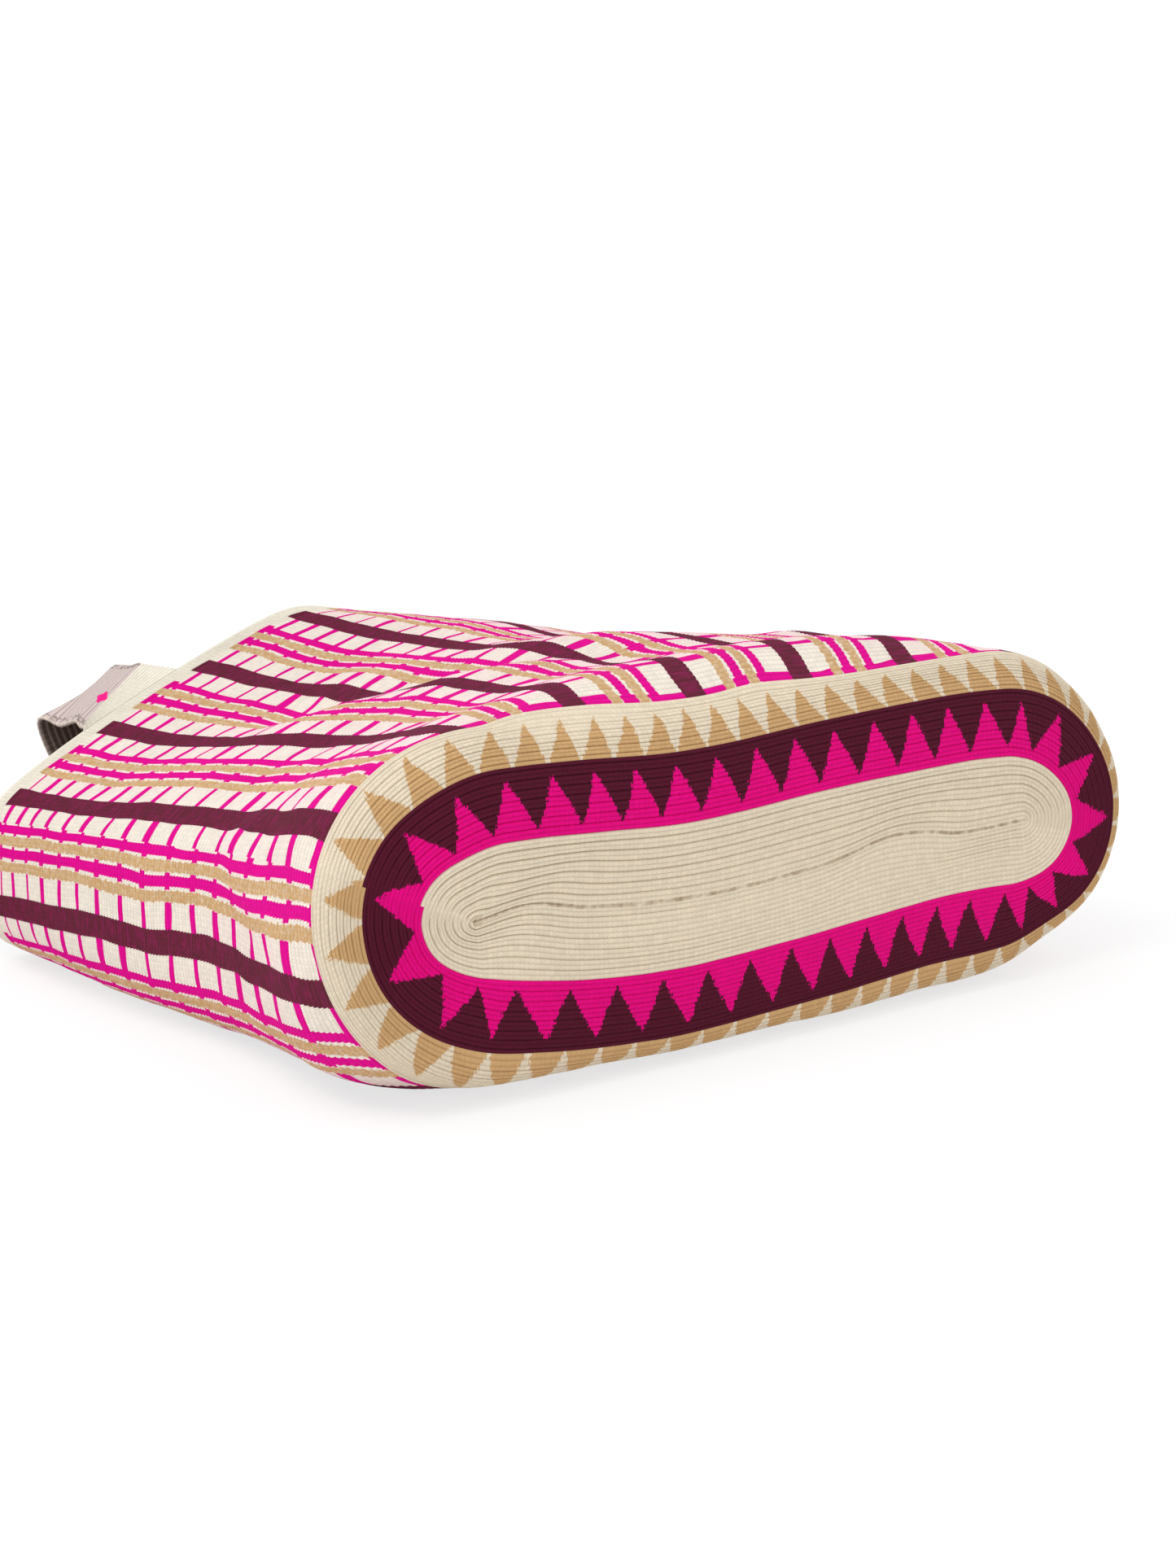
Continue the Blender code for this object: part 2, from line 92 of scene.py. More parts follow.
# How many rounds the border's outer edge strays up the wall, starting from a round of the base and eased out
# over the wall's first rounds
EDGE_STRAY_FROM = 33
EDGE_STRAY_ROUNDS = 36
EDGE_STRAY = (
    (0.00, 0.0), (0.085, 0.6), (0.111, 3.4), (0.145, 2.9), (0.18, 1.3), (0.21, 0.9), (0.24, 1.5),
    (0.275, 0.5), (0.31, 0.0), (1.00, 0.0),
)
# How many rounds the border is rolled further under along the lower run, between two shares of the round
UNDER_ROUNDS = 2.2
UNDER_FROM, UNDER_TO, UNDER_EASE = 0.56, 0.86, 0.08
# How far the border's teeth lean back at shares of the round, and how far they curve
TOOTH_LEAN = (
    (0.00, -0.1), (0.03, 0.1), (0.06, 0.3), (0.10, 0.5), (0.15, 0.85), (0.18, 0.85), (0.21, 0.6), (0.24, 0.4),
    (0.30, 0.3), (0.38, 0.1), (0.50, 0.0), (1.00, -0.1),
)
TOOTH_CURVE = (
    (0.00, 0.0), (0.20, 0.0), (0.27, 0.2), (0.42, 0.2), (0.50, 0.0), (0.58, 0.0), (0.65, -0.15),
    (0.92, -0.15), (1.00, 0.0),
)
# How high the base's middle seam wanders, at shares of the half run from the middle
SEAM_WAVE = (
    (-1.10, 0.0000), (-0.90, 0.0050), (-0.70, 0.0006), (-0.44, -0.0028), (-0.18, -0.0040), (0.12, -0.0028),
    (0.30, -0.0008), (0.51, 0.0044), (0.67, 0.0032), (0.82, -0.0004), (1.10, 0.0000),
)

# The base's chart, in rounds, stitches and shares of a tooth
TOOTH_ROUNDS = 11.0  # rounds from a pink tooth's foot to its tip
TAN_ROUNDS = 10.6
TAN_HALF_WIDTH = 0.46
BORDER_TEETH_A_STITCH = 0.15
ROUND_SLOPE = 0.55  # how much a tooth narrows within a round, and not in a step between two
STITCH_SQUARE = 0.7  # how square the steps are

# The wall's chart, in rounds up the wall and stitches across a column
RUNG_ROUNDS = 8
FIRST_RUNG = 3.5
HEADS_START = PATTERN_END - 3.5  # where the strips widen into heads
NUB_HALF = 0.9
MAROON_HALF = 2.25
CELLS = ((MAROON_HALF, 7.1), (17.0, COLUMN_STITCHES - MAROON_HALF))
PINK_STRIPS = ((9.9, 11.9), (15.15, 17.0))
TAN_STRIPS = (8.15, 13.55)
TAN_HALF = 1.16

# The legs of a stitch, as shares of its width
LEG_FOOT = 0.10  # how far each leg's foot lies from the middle
LEG_SPREAD = 0.24  # how much further its top does
LEG_WIDTH = 0.20

# The straps' weave, in millimetres
WEFT_PITCH = 2.4
WARP_PITCH = 3.2
DIAMOND_PITCH = 62.0
DIAMOND_REACH = 4.5
DIAMOND_OFF = (4.0, 27.0)  # how far the diamonds are shifted across and along
FLECK = (0.8, 1.2)  # a fleck's size across and along
FLECKED_FROM = 19.5
EDGED_FROM = 23.1

YARNS = ("Cream", "Pink", "Maroon", "Tan")
COLOUR_SOCKETS = ("Color", *YARNS)
# Painted shade: the brown laid into the slit of the base's middle seam and the hollow at its left end, where
# shade falls
PAINTED_SEAM_SHADE = (0.30, 0.21, 0.12, 1.0)

# How finely the pieces are modelled
STEPS_ROUND = 288
FINE_STEPS = 1440
BASE_STEPS_A_ROUND = 4
WALL_STEPS_A_ROUND = 2
BASE_INSIDE_STEPS = 15
INSIDE_STEPS = 44
LIP_STEPS = 6
TAB_ROUNDS = 9
TAB_SECTION_STEPS = 48
STRAP_SECTION_STEPS = 56
STRAP_STEP = 0.0012
WELD = 1e-5
MILLIMETRE = 0.001

# The bag's form, in metres and in shares of the base's half length, its height or the wall's depth
MIDDLE = 0.16  # the origin lies this far from the base's face
FLAT_BELOW = 0.0016  # the underside is pressed flat up to this height
BASE_MIDDLE = 0.51  # share of the base's height that lies below its middle
BASE_SLOPE = -0.0018  # the base's long lines rise by this from the middle to the right end,
BASE_SMILE = 0.0038  # by this towards both ends,
BASE_DROOP = -0.0119  # and by this close to the right end, and fall as much close to the left
BASE_TAPER = 0.027  # share of its height that the base loses at the right end, and gains at the left
TUCK_MIDDLE = 1.15  # how much of its tuck the border has in the middle,
TUCK_RIGHT = 3.9  # and how much more at the right end, and less at the left
CORNER_AT = 0.79  # share of the base's half length at which its lower right corner is lifted most,
CORNER_WIDTH = 0.15  # and half the width of that lift
MID_BORDER_PULL = 0.8  # share of the border edge's pull that the middle of the border has
CREAM_BULGE = 0.002  # how far the cream centre's edge stands out from the base's face
SMOOTHINGS = 26  # how often the wall's sections are smoothed
TURN = 0.0169  # share of a round from its left end to the first stripe
TWIST = 0.0186  # share of a round that the wall's first rounds are turned on by
CAP_SPREAD = 0.111  # how much wider the stitches lie at the ends of the first rounds
ROW_SPREAD = 0.39  # how much taller the wall's first rounds are than its last
# Sections of the wall: share of the wall's depth, half length, side height and crown rise, how full the
# crown and the belly are (2 is an ellipse, more is boxy), and how far the crown leans to the right
WALL_SECTIONS = (
    (0.09, 0.968, 0.660, 0.426, 2.33, 5.18, -0.106),
    (0.22, 0.922, 0.657, 0.374, 2.07, 6.31, -0.014),
    (0.38, 0.873, 0.614, 0.419, 1.50, 7.78, 0.006),
    (0.56, 0.869, 0.569, 0.381, 1.43, 9.05, -0.006),
    (0.76, 0.874, 0.529, 0.401, 1.20, 8.43, 0.059),
    (1.00, 0.850, 0.446, 0.473, 1.13, 8.81, -0.070),
)
# Folds: round and depth shares of the start and of the end, half width, and height, below 0 in a valley
FOLDS = (
    ((0.215, 0.30), (0.120, 0.66), 0.022, -0.0053),
    ((0.120, 0.14), (0.075, 0.42), 0.020, -0.0017),
    ((0.020, 0.20), (-0.010, 0.62), 0.018, 0.0005),
    ((-0.030, 0.10), (0.000, 0.30), 0.016, 0.0038),
    ((0.330, 0.30), (0.400, 0.60), 0.020, 0.0034),
    ((0.440, 0.10), (0.480, 0.55), 0.020, -0.0026),
    ((0.530, 0.15), (0.515, 0.50), 0.016, 0.0025),
)

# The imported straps' bends: place in strap widths from the floor under the rim's middle, and way across
UPPER_STRAP = (
    ((-2.20, 0.66, 2.12), (0.89, 0.00, 0.46)),
    ((-2.20, 0.83, 2.06), (0.93, 0.00, 0.37)),
    ((-2.16, 0.87, 1.94), (0.93, 0.00, 0.37)),
    ((-2.07, 0.84, 1.67), (0.93, 0.05, 0.35)),
    ((-1.97, 0.80, 1.37), (0.90, 0.25, 0.28)),
    ((-1.87, 0.81, 1.06), (0.76, 0.62, 0.10)),
    ((-1.76, 0.89, 0.75), (0.50, 0.86, 0.00)),
    ((-1.61, 1.00, 0.45), (0.22, 0.97, 0.00)),
    ((-1.36, 1.08, 0.19), (0.04, 1.00, 0.00)),
    ((-0.94, 1.10, 0.05), (0.00, 1.00, 0.00)),
    ((0.06, 1.22, 0.62), (0.00, 1.00, 0.00)),
    ((1.06, 1.10, 0.05), (0.00, 1.00, 0.00)),
    ((1.51, 1.08, 0.19), (-0.05, 1.00, 0.00)),
    ((1.81, 1.00, 0.50), (-0.30, 0.95, 0.00)),
    ((2.03, 0.83, 0.88), (-0.65, 0.76, 0.00)),
    ((2.16, 0.73, 1.21), (-0.90, 0.40, 0.00)),
    ((2.19, 0.73, 1.53), (-0.97, 0.12, 0.15)),
    ((2.19, 0.67, 1.80), (-0.95, 0.00, 0.28)),
)
LOWER_STRAP = (
    ((-2.39, 0.71, 0.00), (1.00, 0.00, 0.04)),
    ((-2.44, 0.90, 0.00), (0.94, 0.00, 0.34)),
    ((-2.48, 1.08, 0.00), (0.70, 0.00, 0.71)),
    ((-2.46, 1.35, 0.00), (0.30, 0.00, 0.95)),
    ((-2.27, 1.65, 0.00), (0.00, 0.00, 1.00)),
    ((-1.84, 1.93, 0.00), (0.00, 0.00, 1.00)),
    ((-1.20, 2.30, 0.00), (0.00, 0.00, 1.00)),
    ((0.04, 2.46, 0.00), (0.00, 0.00, 1.00)),
    ((1.28, 2.34, 0.00), (0.00, 0.00, 1.00)),
    ((2.14, 2.02, 0.00), (0.00, 0.00, 1.00)),
    ((2.62, 1.71, 0.00), (0.00, 0.00, 1.00)),
    ((2.73, 1.40, 0.00), (-0.30, 0.00, 0.95)),
    ((2.62, 1.12, 0.00), (-0.70, 0.00, 0.71)),
    ((2.48, 0.92, 0.00), (-0.94, 0.00, 0.34)),
    ((2.38, 0.71, 0.00), (-1.00, 0.00, 0.04)),
)
TAB_MIDDLE = 0.229  # share of a round from the left end to the middle between the upper tabs
TAB_REACH = 0.126  # share of a round from there to each of them
TAB_GROOVE = 0.22  # depth of the tabs' grooves, as a share of their thickness
RIB = 0.10  # height of the straps' ribs, as a share of their thickness
TAB_SKEW = 0.38  # a tab's far edge slants by this share of its width
CLEARANCE = 0.0003


def length_property(name, description, default):
    return FloatProperty(name=name, description=description, default=default, min=0.0, unit="LENGTH")


def angle_property(name, description, default):
    return FloatProperty(name=name, description=description, default=default, subtype="ANGLE")


def colour_property(name, description, default):
    return FloatVectorProperty(
        name=name, description=description, default=default, size=3, min=0.0, max=1.0, subtype="COLOR"
    )


class ToteSizes(bpy.types.PropertyGroup):
    run_half: length_property("Half Run", "Half of the straight run of the base", 0.1368)
    cream_reach: length_property("Cream Reach", "Reach of the cream centre's cap past the run", 0.0404)
    teeth_reach: length_property("Teeth Reach", "Reach of the toothed zone's cap past the run", 0.0680)
    border_reach: length_property("Border Reach", "Reach of the border's cap past the run", 0.0819)
    cream_height: length_property("Cream Height", "Height of the cream centre of the base", 0.0590)
    teeth_height: length_property("Teeth Height", "Height of the pink and maroon zone of the base", 0.1194)
    base_height: length_property("Base Height", "Height of the whole base", 0.1506)
    edge_depth: length_property("Edge Depth", "How far the border rolls back from the base's face", 0.0146)
    seam_reach: length_property("Seam Reach", "How far the middle seam runs past the run", 0.0125)
    base_bow: length_property("Base Bow", "How far the base curves back at its ends", 0.0053)
    end_pull: length_property("End Pull", "How far the border is drawn in at the base's right end", 0.0034)
    depth: length_property("Bag Depth", "Distance from the base's face to the rim", 0.308)
    border_tuck: FloatProperty(
        name="Border Tuck",
        description="Share of its lower half's height by which the border is tucked under at its middle",
        default=0.0377,
    )
    corner_lift: FloatProperty(
        name="Corner Lift",
        description="Share of its lower half's height by which the base's lower right corner is drawn up",
        default=0.10,
    )
    wall: length_property("Thickness", "Thickness of the crochet", 0.0032)
    lip: length_property("Rim Lip", "How far the rolled rim stands out past the wall", 0.0020)
    groove: length_property("Groove Depth", "Depth of the grooves between rounds on the base", 0.00055)
    wall_groove: length_property("Wall Groove", "Depth of the grooves between the wall's rounds", 0.00040)
    unevenness: length_property("Unevenness", "How far hand work strays from an even surface", 0.0009)
    tab_width: length_property("Tab Width", "Width of a strap tab at the rim", 0.056)
    tab_depth: length_property("Tab Depth", "Length of a strap tab's middle line", 0.012)
    tab_thickness: length_property("Tab Thickness", "Thickness of a strap tab", 0.0042)
    strap_width: length_property("Strap Width", "Width of the woven straps", 0.048)
    strap_thickness: length_property("Strap Thickness", "Thickness of the woven straps", 0.0028)


class ToteColours(bpy.types.PropertyGroup):
    cream: colour_property("Cream", "Yarn of the base's ground", (0.77, 0.665, 0.51))
    pink: colour_property("Pink", "Magenta yarn of the base's teeth", (0.78, 0.0, 0.21))
    maroon: colour_property("Maroon", "Dark red yarn of the outer teeth", (0.085, 0.0065, 0.022))
    tan: colour_property("Tan", "Light brown yarn of the border's teeth and the strips", (0.60, 0.37, 0.17))
    strap_ground: colour_property("Strap Ground", "Grey-mauve weft of the straps", (0.56, 0.46, 0.44))
    # Wall Cream is paler than the base's cream partly as painted light, standing in for the wall's top being
    # lit more than the base's face; its less yellow tone is the yarn's own
    wall_cream: colour_property("Wall Cream", "Paler ground yarn of the wall", (0.83, 0.775, 0.66))
    wall_pink: colour_property("Wall Pink", "Magenta yarn of the wall's stripes and rungs", (0.74, 0.0, 0.27))
    wall_maroon: colour_property("Wall Maroon", "Dark red yarn of the broad stripes", (0.125, 0.017, 0.036))
    blush: colour_property("Blush", "Pink tint of the wall's ground seen edge on", (0.92, 0.60, 0.68))
    # Strap Dark is the dark of the weft lines and flecks, and also the painted shade that fills the straps'
    # inner face
    strap_dark_and_shade: colour_property("Strap Dark", "Dark warp of the straps' inner face", (0.11, 0.078, 0.06))
    floor: colour_property("Floor", "Pale floor and backdrop", (0.96, 0.96, 0.96))


class ToteStage(bpy.types.PropertyGroup):
    azimuth: angle_property("Camera Azimuth", "Turn of the camera about the bag", -0.6759)
    elevation: angle_property("Camera Elevation", "Height of the camera over the floor", 0.2632)
    distance: length_property("Camera Distance", "Distance from the camera to the point it looks at", 2.548)
    lens: FloatProperty(name="Lens", description="Focal length in millimetres", default=144.28, min=1.0)
    target: FloatVectorProperty(
        name="Camera Target",
        description="The point that the camera looks at",
        default=(-0.0936, -MIDDLE, 0.1303),
        size=3,
        subtype="XYZ",
    )
    world_strength: FloatProperty(name="World Light", description="Light all round", default=1.0)
    key_power: FloatProperty(name="Key Light", description="Power of the lamp", default=30.0, unit="POWER")
    floor_glow: FloatProperty(
        name="Floor Glow", description="Share of the floor's white that shadows don't reach", default=0.72
    )


def sizes():
    return bpy.context.scene.tote_sizes


def colours():
    return bpy.context.scene.tote_colours


def smooth_through(stations, values, where):
    """A smooth curve through values at uneven stations. The places asked for may be an array, with one
    column of values for each of its columns."""
    stations = np.asarray(stations, float)
    values = np.asarray(values, float)
    slopes = np.gradient(values, stations, axis=0)
    gaps = (stations[2:] - stations[:-2]).reshape(-1, *[1] * (values.ndim - 1))
    slopes[1:-1] = (values[2:] - values[:-2]) / gaps
    where = np.asarray(where, float)
    k = np.clip(np.searchsorted(stations, where, side="right") - 1, 0, len(stations) - 2)
    span = stations[k + 1] - stations[k]
    s = (where - stations[k]) / span
    if where.ndim == 2:
        column = np.broadcast_to(np.arange(where.shape[1]), where.shape)
        here, there = values[k, column], values[k + 1, column]
        slope_here, slope_there = slopes[k, column], slopes[k + 1, column]
        s, span = s[..., None], span[..., None]
    else:
        here, there, slope_here, slope_there = values[k], values[k + 1], slopes[k], slopes[k + 1]
        s, span = s[:, None], span[:, None]
    return (
        (2 * s**3 - 3 * s**2 + 1) * here
        + (s**3 - 2 * s**2 + s) * span * slope_here
        + (3 * s**2 - 2 * s**3) * there
        + (s**3 - s**2) * span * slope_there
    )


def from_table(table, where):
    """A smooth curve through a table's pairs."""
    places, values = np.array(table).T
    return smooth_through(places, values[:, None], where)[:, 0]


def round_shares(depth_share, steps, twist=TWIST):
    """Where a round's steps lie along it: spread at the ends and turned a little near the base."""
    even = np.arange(steps) / steps
    near_base = 1 - depth_share
    spread = CAP_SPREAD * near_base**2 / (4 * math.pi) * np.sin(4 * math.pi * even)
    return even + spread + twist * near_base**8


def cap_share():
    """The share of the base's round that one cap takes."""
    cap = math.pi * sizes().base_height / 2
    return cap / (2 * cap + 4 * sizes().run_half)


def base_round(reach, height, depth, lift=0.0, tuck=0.0, pull=0.0, twist=TWIST):
    """A round of the base: a straight run with a cap at each end, bent as the stuffed base is. A lift
    raises its lower right corner, a tuck draws its lower half up, and a pull draws its right end in."""
    size = sizes()
    cap = cap_share()
    at = np.arange(FINE_STEPS) / FINE_STEPS
    turned = np.mod(at + cap / 2, 1)
    straight = 0.5 - cap
    angle = np.where(
        turned < cap,
        math.pi * 1.5 - turned / cap * math.pi,
        math.pi / 2 - (turned - 0.5) / cap * math.pi,
    )
    on_cap = np.mod(turned, 0.5) < cap
    along = (np.mod(turned, 0.5) - cap) / straight * 2 - 1
    upper = turned < 0.5
    reach = np.where(upper, reach, reach - pull)
    end = np.where(upper, -1, 1) * size.run_half
    x = np.where(on_cap, end + reach * np.cos(angle), along * size.run_half)
    x = np.where(~on_cap & ~upper, -along * size.run_half, x)
    z = np.where(on_cap, height / 2 * np.sin(angle), np.where(upper, 1, -1) * height / 2)
    places = np.mod(round_shares(0.0, STEPS_ROUND, twist), 1) * FINE_STEPS
    x, z = (np.interp(places, np.arange(FINE_STEPS + 1), np.append(values, values[0])) for values in (x, z))
    share = x / (size.run_half + size.border_reach)
    tuck = tuck * np.maximum(TUCK_MIDDLE + TUCK_RIGHT * share**5, 0)
    lift = lift * np.exp(-(((share - CORNER_AT) / CORNER_WIDTH) ** 2))
    z *= np.where(z < 0, 1 - tuck - lift, 1)
    rise = BASE_SLOPE * share + BASE_SMILE * share**2 + BASE_DROOP * share**3
    z = size.base_height * BASE_MIDDLE + z * (1 - BASE_TAPER * share) + rise
    return np.stack([x, depth + size.base_bow * share**2, z], axis=1)


def wall_round(share, half_length, side_height, crown_rise, crown, belly, lean):
    """A round of the wall: a rounded crown over a wide flat belly."""
    size = sizes()
    base_half = size.run_half + size.border_reach
    angle = math.pi - np.arange(FINE_STEPS) / FINE_STEPS * 2 * math.pi
    c, s = np.cos(angle), np.sin(angle)
    power = np.where(s >= 0, 2 / crown, 2 / belly)
    x = base_half * (half_length * np.sign(c) * np.abs(c) ** power + lean * np.maximum(s, 0))
    rise = np.where(s >= 0, crown_rise, side_height) * size.base_height
    z = side_height * size.base_height + rise * np.sign(s) * np.abs(s) ** power
    closed = np.stack([np.append(x, x[0]), np.append(z, z[0])], axis=1)
    length = np.concatenate([[0], np.cumsum(np.linalg.norm(np.diff(closed, axis=0), axis=1))])
    at = np.mod(round_shares(share, STEPS_ROUND), 1) * length[-1]
    points = np.stack([np.interp(at, length, closed[:, k]) for k in (0, 1)], axis=1)
    for _ in range(SMOOTHINGS):
        points = points / 2 + (np.roll(points, 1, axis=0) + np.roll(points, -1, axis=0)) / 4
    bow = size.base_bow * (points[:, 0] / base_half) ** 2
    y = size.edge_depth + share * (size.depth - size.edge_depth) + (1 - share) * bow
    return np.stack([points[:, 0], y, points[:, 1]], axis=1)


def depth_share(round_share):
    """How far down the wall a round lies. The rounds near the base are taller than those at the rim."""
    return round_share + ROW_SPREAD * round_share * (1 - round_share)


class BagForm:
    """The bag's smooth outer form: a place on it is a column of the round and a count of rounds from the
    base's middle."""

    def __init__(self):
        size = sizes()
        between = (size.teeth_reach + 2 * size.border_reach) / 3
        between_height = (size.teeth_height + 2 * size.base_height) / 3
        edge, lift, tuck, pull = size.edge_depth, size.corner_lift, size.border_tuck, size.end_pull
        self.stations = [0, CREAM_ROUNDS, TEETH_END, TEETH_END + BORDER_ROUNDS / 2, BASE_ROUNDS]
        rounds = [
            base_round(0.0, 0.0, 0.0, twist=0.0),
            base_round(size.cream_reach, size.cream_height, -CREAM_BULGE),
            base_round(size.teeth_reach, size.teeth_height, 0.0, lift),
            base_round(between, between_height, edge / 4, lift, tuck / 2, pull * MID_BORDER_PULL),
            base_round(size.border_reach, size.base_height, edge, lift, tuck, pull),
        ]
        pitch = (size.base_height - size.cream_height) / 2 / (TEETH_ROUNDS + BORDER_ROUNDS / 2)
        self.stretch = (size.depth - size.edge_depth) / pitch / WALL_ROUNDS
        for section in WALL_SECTIONS:
            self.stations.append(BASE_ROUNDS + section[0] * WALL_ROUNDS * self.stretch)
            rounds.append(wall_round(*section))
        self.rounds = np.array(rounds)
        self.rounds[0, :, 0] *= 1 + size.seam_reach / size.run_half
        self.rounds[0, :, 2] += from_table(SEAM_WAVE, self.rounds[0, :, 0] / size.run_half)

    def smooth_points(self, places, shift=0):
        """Points for an array of places with one column for each step of the round, and one more to close
        it."""
        steps = (np.arange(STEPS_ROUND + 1) + shift) % STEPS_ROUND
        share = (places - BASE_ROUNDS) / WALL_ROUNDS
        on_wall = BASE_ROUNDS + depth_share(share) * WALL_ROUNDS * self.stretch
        stations = np.where(places > BASE_ROUNDS, on_wall, places)
        points = smooth_through(self.stations, self.rounds[:, steps], stations)
        return points + np.array([0, -MIDDLE, 0])

    def skin(self, places):
        """Points and outward normals at these places, with the wall's folds."""
        around = self.smooth_points(places, 1) - self.smooth_points(places, -1)
        ahead = self.smooth_points(np.minimum(places + 0.5, RIM_ROUND))
        ahead = ahead - self.smooth_points(np.maximum(places - 0.5, 0))
        normals = np.cross(around, ahead)
        normals /= np.maximum(np.linalg.norm(normals, axis=2, keepdims=True), 1e-12)
        points = self.smooth_points(places)
        share = np.broadcast_to(np.arange(STEPS_ROUND + 1) / STEPS_ROUND, places.shape)
        down = depth_share((places - BASE_ROUNDS) / WALL_ROUNDS)
        points = points + normals * fold_height(share, down)[..., None]
        points[..., 2] -= FLAT_BELOW
        return points, normals


def fold_height(share, down):
    """How far the folds push the wall out."""
    height = np.zeros(share.shape)
    for start, end, width, rise in FOLDS:
        line = np.subtract(end, start)
        du = np.mod(share - start[0] + 0.5, 1) - 0.5
        dt = down - start[1]
        along = np.clip((du * line[0] + dt * line[1]) / (line @ line), 0, 1)
        distance = np.hypot(du - along * line[0], (dt - along * line[1]) / 3)
        height += rise * np.exp(-((distance / width) ** 2))
    return height * (down >= 0)


def rolled_mesh(name, points, maps):
    """A grid of faces over points[line, column], with its seams welded. A UV map has values for the grid,
    or one set of them for the faces of each half of the round."""
    lines, columns = points.shape[0] - 1, points.shape[1] - 1
    shape = bmesh.new()
    for map_name in maps:
        shape.loops.layers.uv.new(map_name)
    bmesh.ops.create_grid(shape, x_segments=columns, y_segments=lines, size=0.5)
    mesh = bpy.data.meshes.new(name)
    shape.to_mesh(mesh)
    flat = np.empty(len(mesh.vertices) * 3)
    mesh.vertices.foreach_get("co", flat)
    flat = flat.reshape(-1, 3) + 0.5
    column, line = np.rint(flat[:, 0] * columns).astype(int), np.rint(flat[:, 1] * lines).astype(int)
    mesh.vertices.foreach_set("co", points[line, column].ravel())
    corners = np.empty(len(mesh.loops), int)
    mesh.loops.foreach_get("vertex_index", corners)
    first_column = np.repeat(column[corners].reshape(-1, 4).min(axis=1), 4)
    half = (first_column >= columns / 2).astype(int)
    for map_name, values in maps.items():
        values = np.broadcast_to(values, (2, *points.shape[:2], 2))
        mesh.uv_layers[map_name].data.foreach_set("uv", values[half, line[corners], column[corners]].ravel())
    shape.free()
    shape = bmesh.new()
    shape.from_mesh(mesh)
    bmesh.ops.remove_doubles(shape, verts=shape.verts, dist=WELD)
    bmesh.ops.recalc_face_normals(shape, faces=shape.faces)
    shape.to_mesh(mesh)
    shape.free()
    return mesh


def finished_piece(mesh, material, slot, *nodes):
    mesh.shade_smooth()
    mesh.set_sharp_from_angle(angle=math.radians(60))
    mesh.materials.append(material)
    piece = bpy.data.objects.new(mesh.name, mesh)
    bpy.context.scene.collection.objects.link(piece)
    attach(piece, "root")
    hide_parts(*nodes)
    return piece


def unevenness(points, size, seed):
    """A slow, seeded wander of the surface, as hand work has."""
    shift = Vector((seed * 7.3, seed * 3.1, seed * 5.7))
    values = [noise.noise(Vector(point) / size + shift) for point in points.reshape(-1, 3)]
    return np.array(values).reshape(points.shape[:-1])


def counted(places, total, share):
    """The count of teeth at these shares of a closed round, from its known places."""
    shares, counts = np.array(places).T
    shares = np.concatenate([shares, shares[:1] + 1])
    counts = np.concatenate([counts, counts[:1] + total])
    wrapped = np.mod(share - shares[0], 1)
    around = smooth_through(
        np.concatenate([shares[-2:-1] - 1, shares, shares[1:2] + 1]),
        np.concatenate([counts[-2:-1] - total, counts, counts[1:2] + total])[:, None],
        wrapped + shares[0],
    )
    return around[:, 0] + total * np.floor(share - shares[0])


def eased(value):
    """Goes from 0 to 1 with no kink at either end."""
    value = np.clip(value, 0, 1)
    return value * value * (3 - 2 * value)


def edge_strays(share):
    """How many rounds the border's outer edge lies up the wall at these shares of the round."""
    return from_table(EDGE_STRAY, np.mod(share, 1))


def stitch_counts(points):
    """Stitches along each line of the base, once counted from the middle of the upper run and once from
    that of the lower run."""
    steps = np.linalg.norm(np.diff(points, axis=1), axis=2)
    length = np.concatenate([np.zeros((len(points), 1)), np.cumsum(steps, axis=1)], axis=1)
    middle = STEPS_ROUND // 2
    counts = []
    for half in (slice(0, middle), slice(middle, STEPS_ROUND + 1)):
        zero = []
        for line in range(len(points)):
            x = points[line, half, 0]
            order = np.argsort(x)
            zero.append(np.interp(0.0, x[order], length[line, half][order]))
        counts.append((length - np.array(zero)[:, None]) / STITCH_WIDTH)
    return np.array(counts)


def close_underside(points):
    """Presses the underside flat against the floor."""
    points[..., 2] = np.maximum(points[..., 2], 0.0)
    return points


def groove(count, width=0.30):
    """1 in the groove beside each round and 0 on its ridge."""
    off = np.abs(np.mod(count + 0.5, 1) - 0.5)
    return np.exp(-((off / width) ** 2) * 2)


def base_places(counts, share, on_oval):
    """Where the base's rounds lie, in rounds from its middle: in a spiral, and astray as hand work is."""
    start, fade, stop = STRAY_ROUNDS
    taken = eased(counts / start) * (1 - eased((counts - fade) / (stop - fade)))
    edge_taken = eased((counts - EDGE_STRAY_FROM) / (BASE_ROUNDS - EDGE_STRAY_FROM))
    on_border = np.clip((counts - TEETH_END) / BORDER_ROUNDS, 0, 1)
    under = eased((share - UNDER_FROM) / UNDER_EASE) * (1 - eased((share - UNDER_TO) / UNDER_EASE))
    places = counts[:, None] - (share - 0.5) + taken[:, None] * from_table(STRAY, np.mod(on_oval, 1))
    places += edge_taken[:, None] * edge_strays(share)
    places += UNDER_ROUNDS * (4 * on_border * (1 - on_border))[:, None] * under
    return np.clip(places, 0, BASE_ROUNDS + edge_strays(share))


def base_grooves(counts, share, points):
    """How deep the grooves between the base's rounds are. Every second groove is deeper, most of all in the
    cream centre, above and to the left, and fades where a round starts."""
    size = sizes()
    in_cream = counts < CREAM_ROUNDS - 0.5
    seam = np.clip(np.minimum(share, 1 - share) / 0.02, 0, 1)
    pairs = groove(counts / 2, 0.16)[:, None] * seam
    upper = np.clip((points[..., 2] - size.base_height * 0.48) / 0.012, 0, 1)
    left = np.clip(-points[..., 0] / size.run_half, 0, 1)
    strong = np.where(in_cream, 1.0, 0.45)[:, None] * (0.25 + 0.5 * upper + 0.4 * left)
    each = np.where(in_cream, 0.35, 0.55) * groove(counts)
    return size.groove * (each[:, None] + 1.2 * pairs * strong)


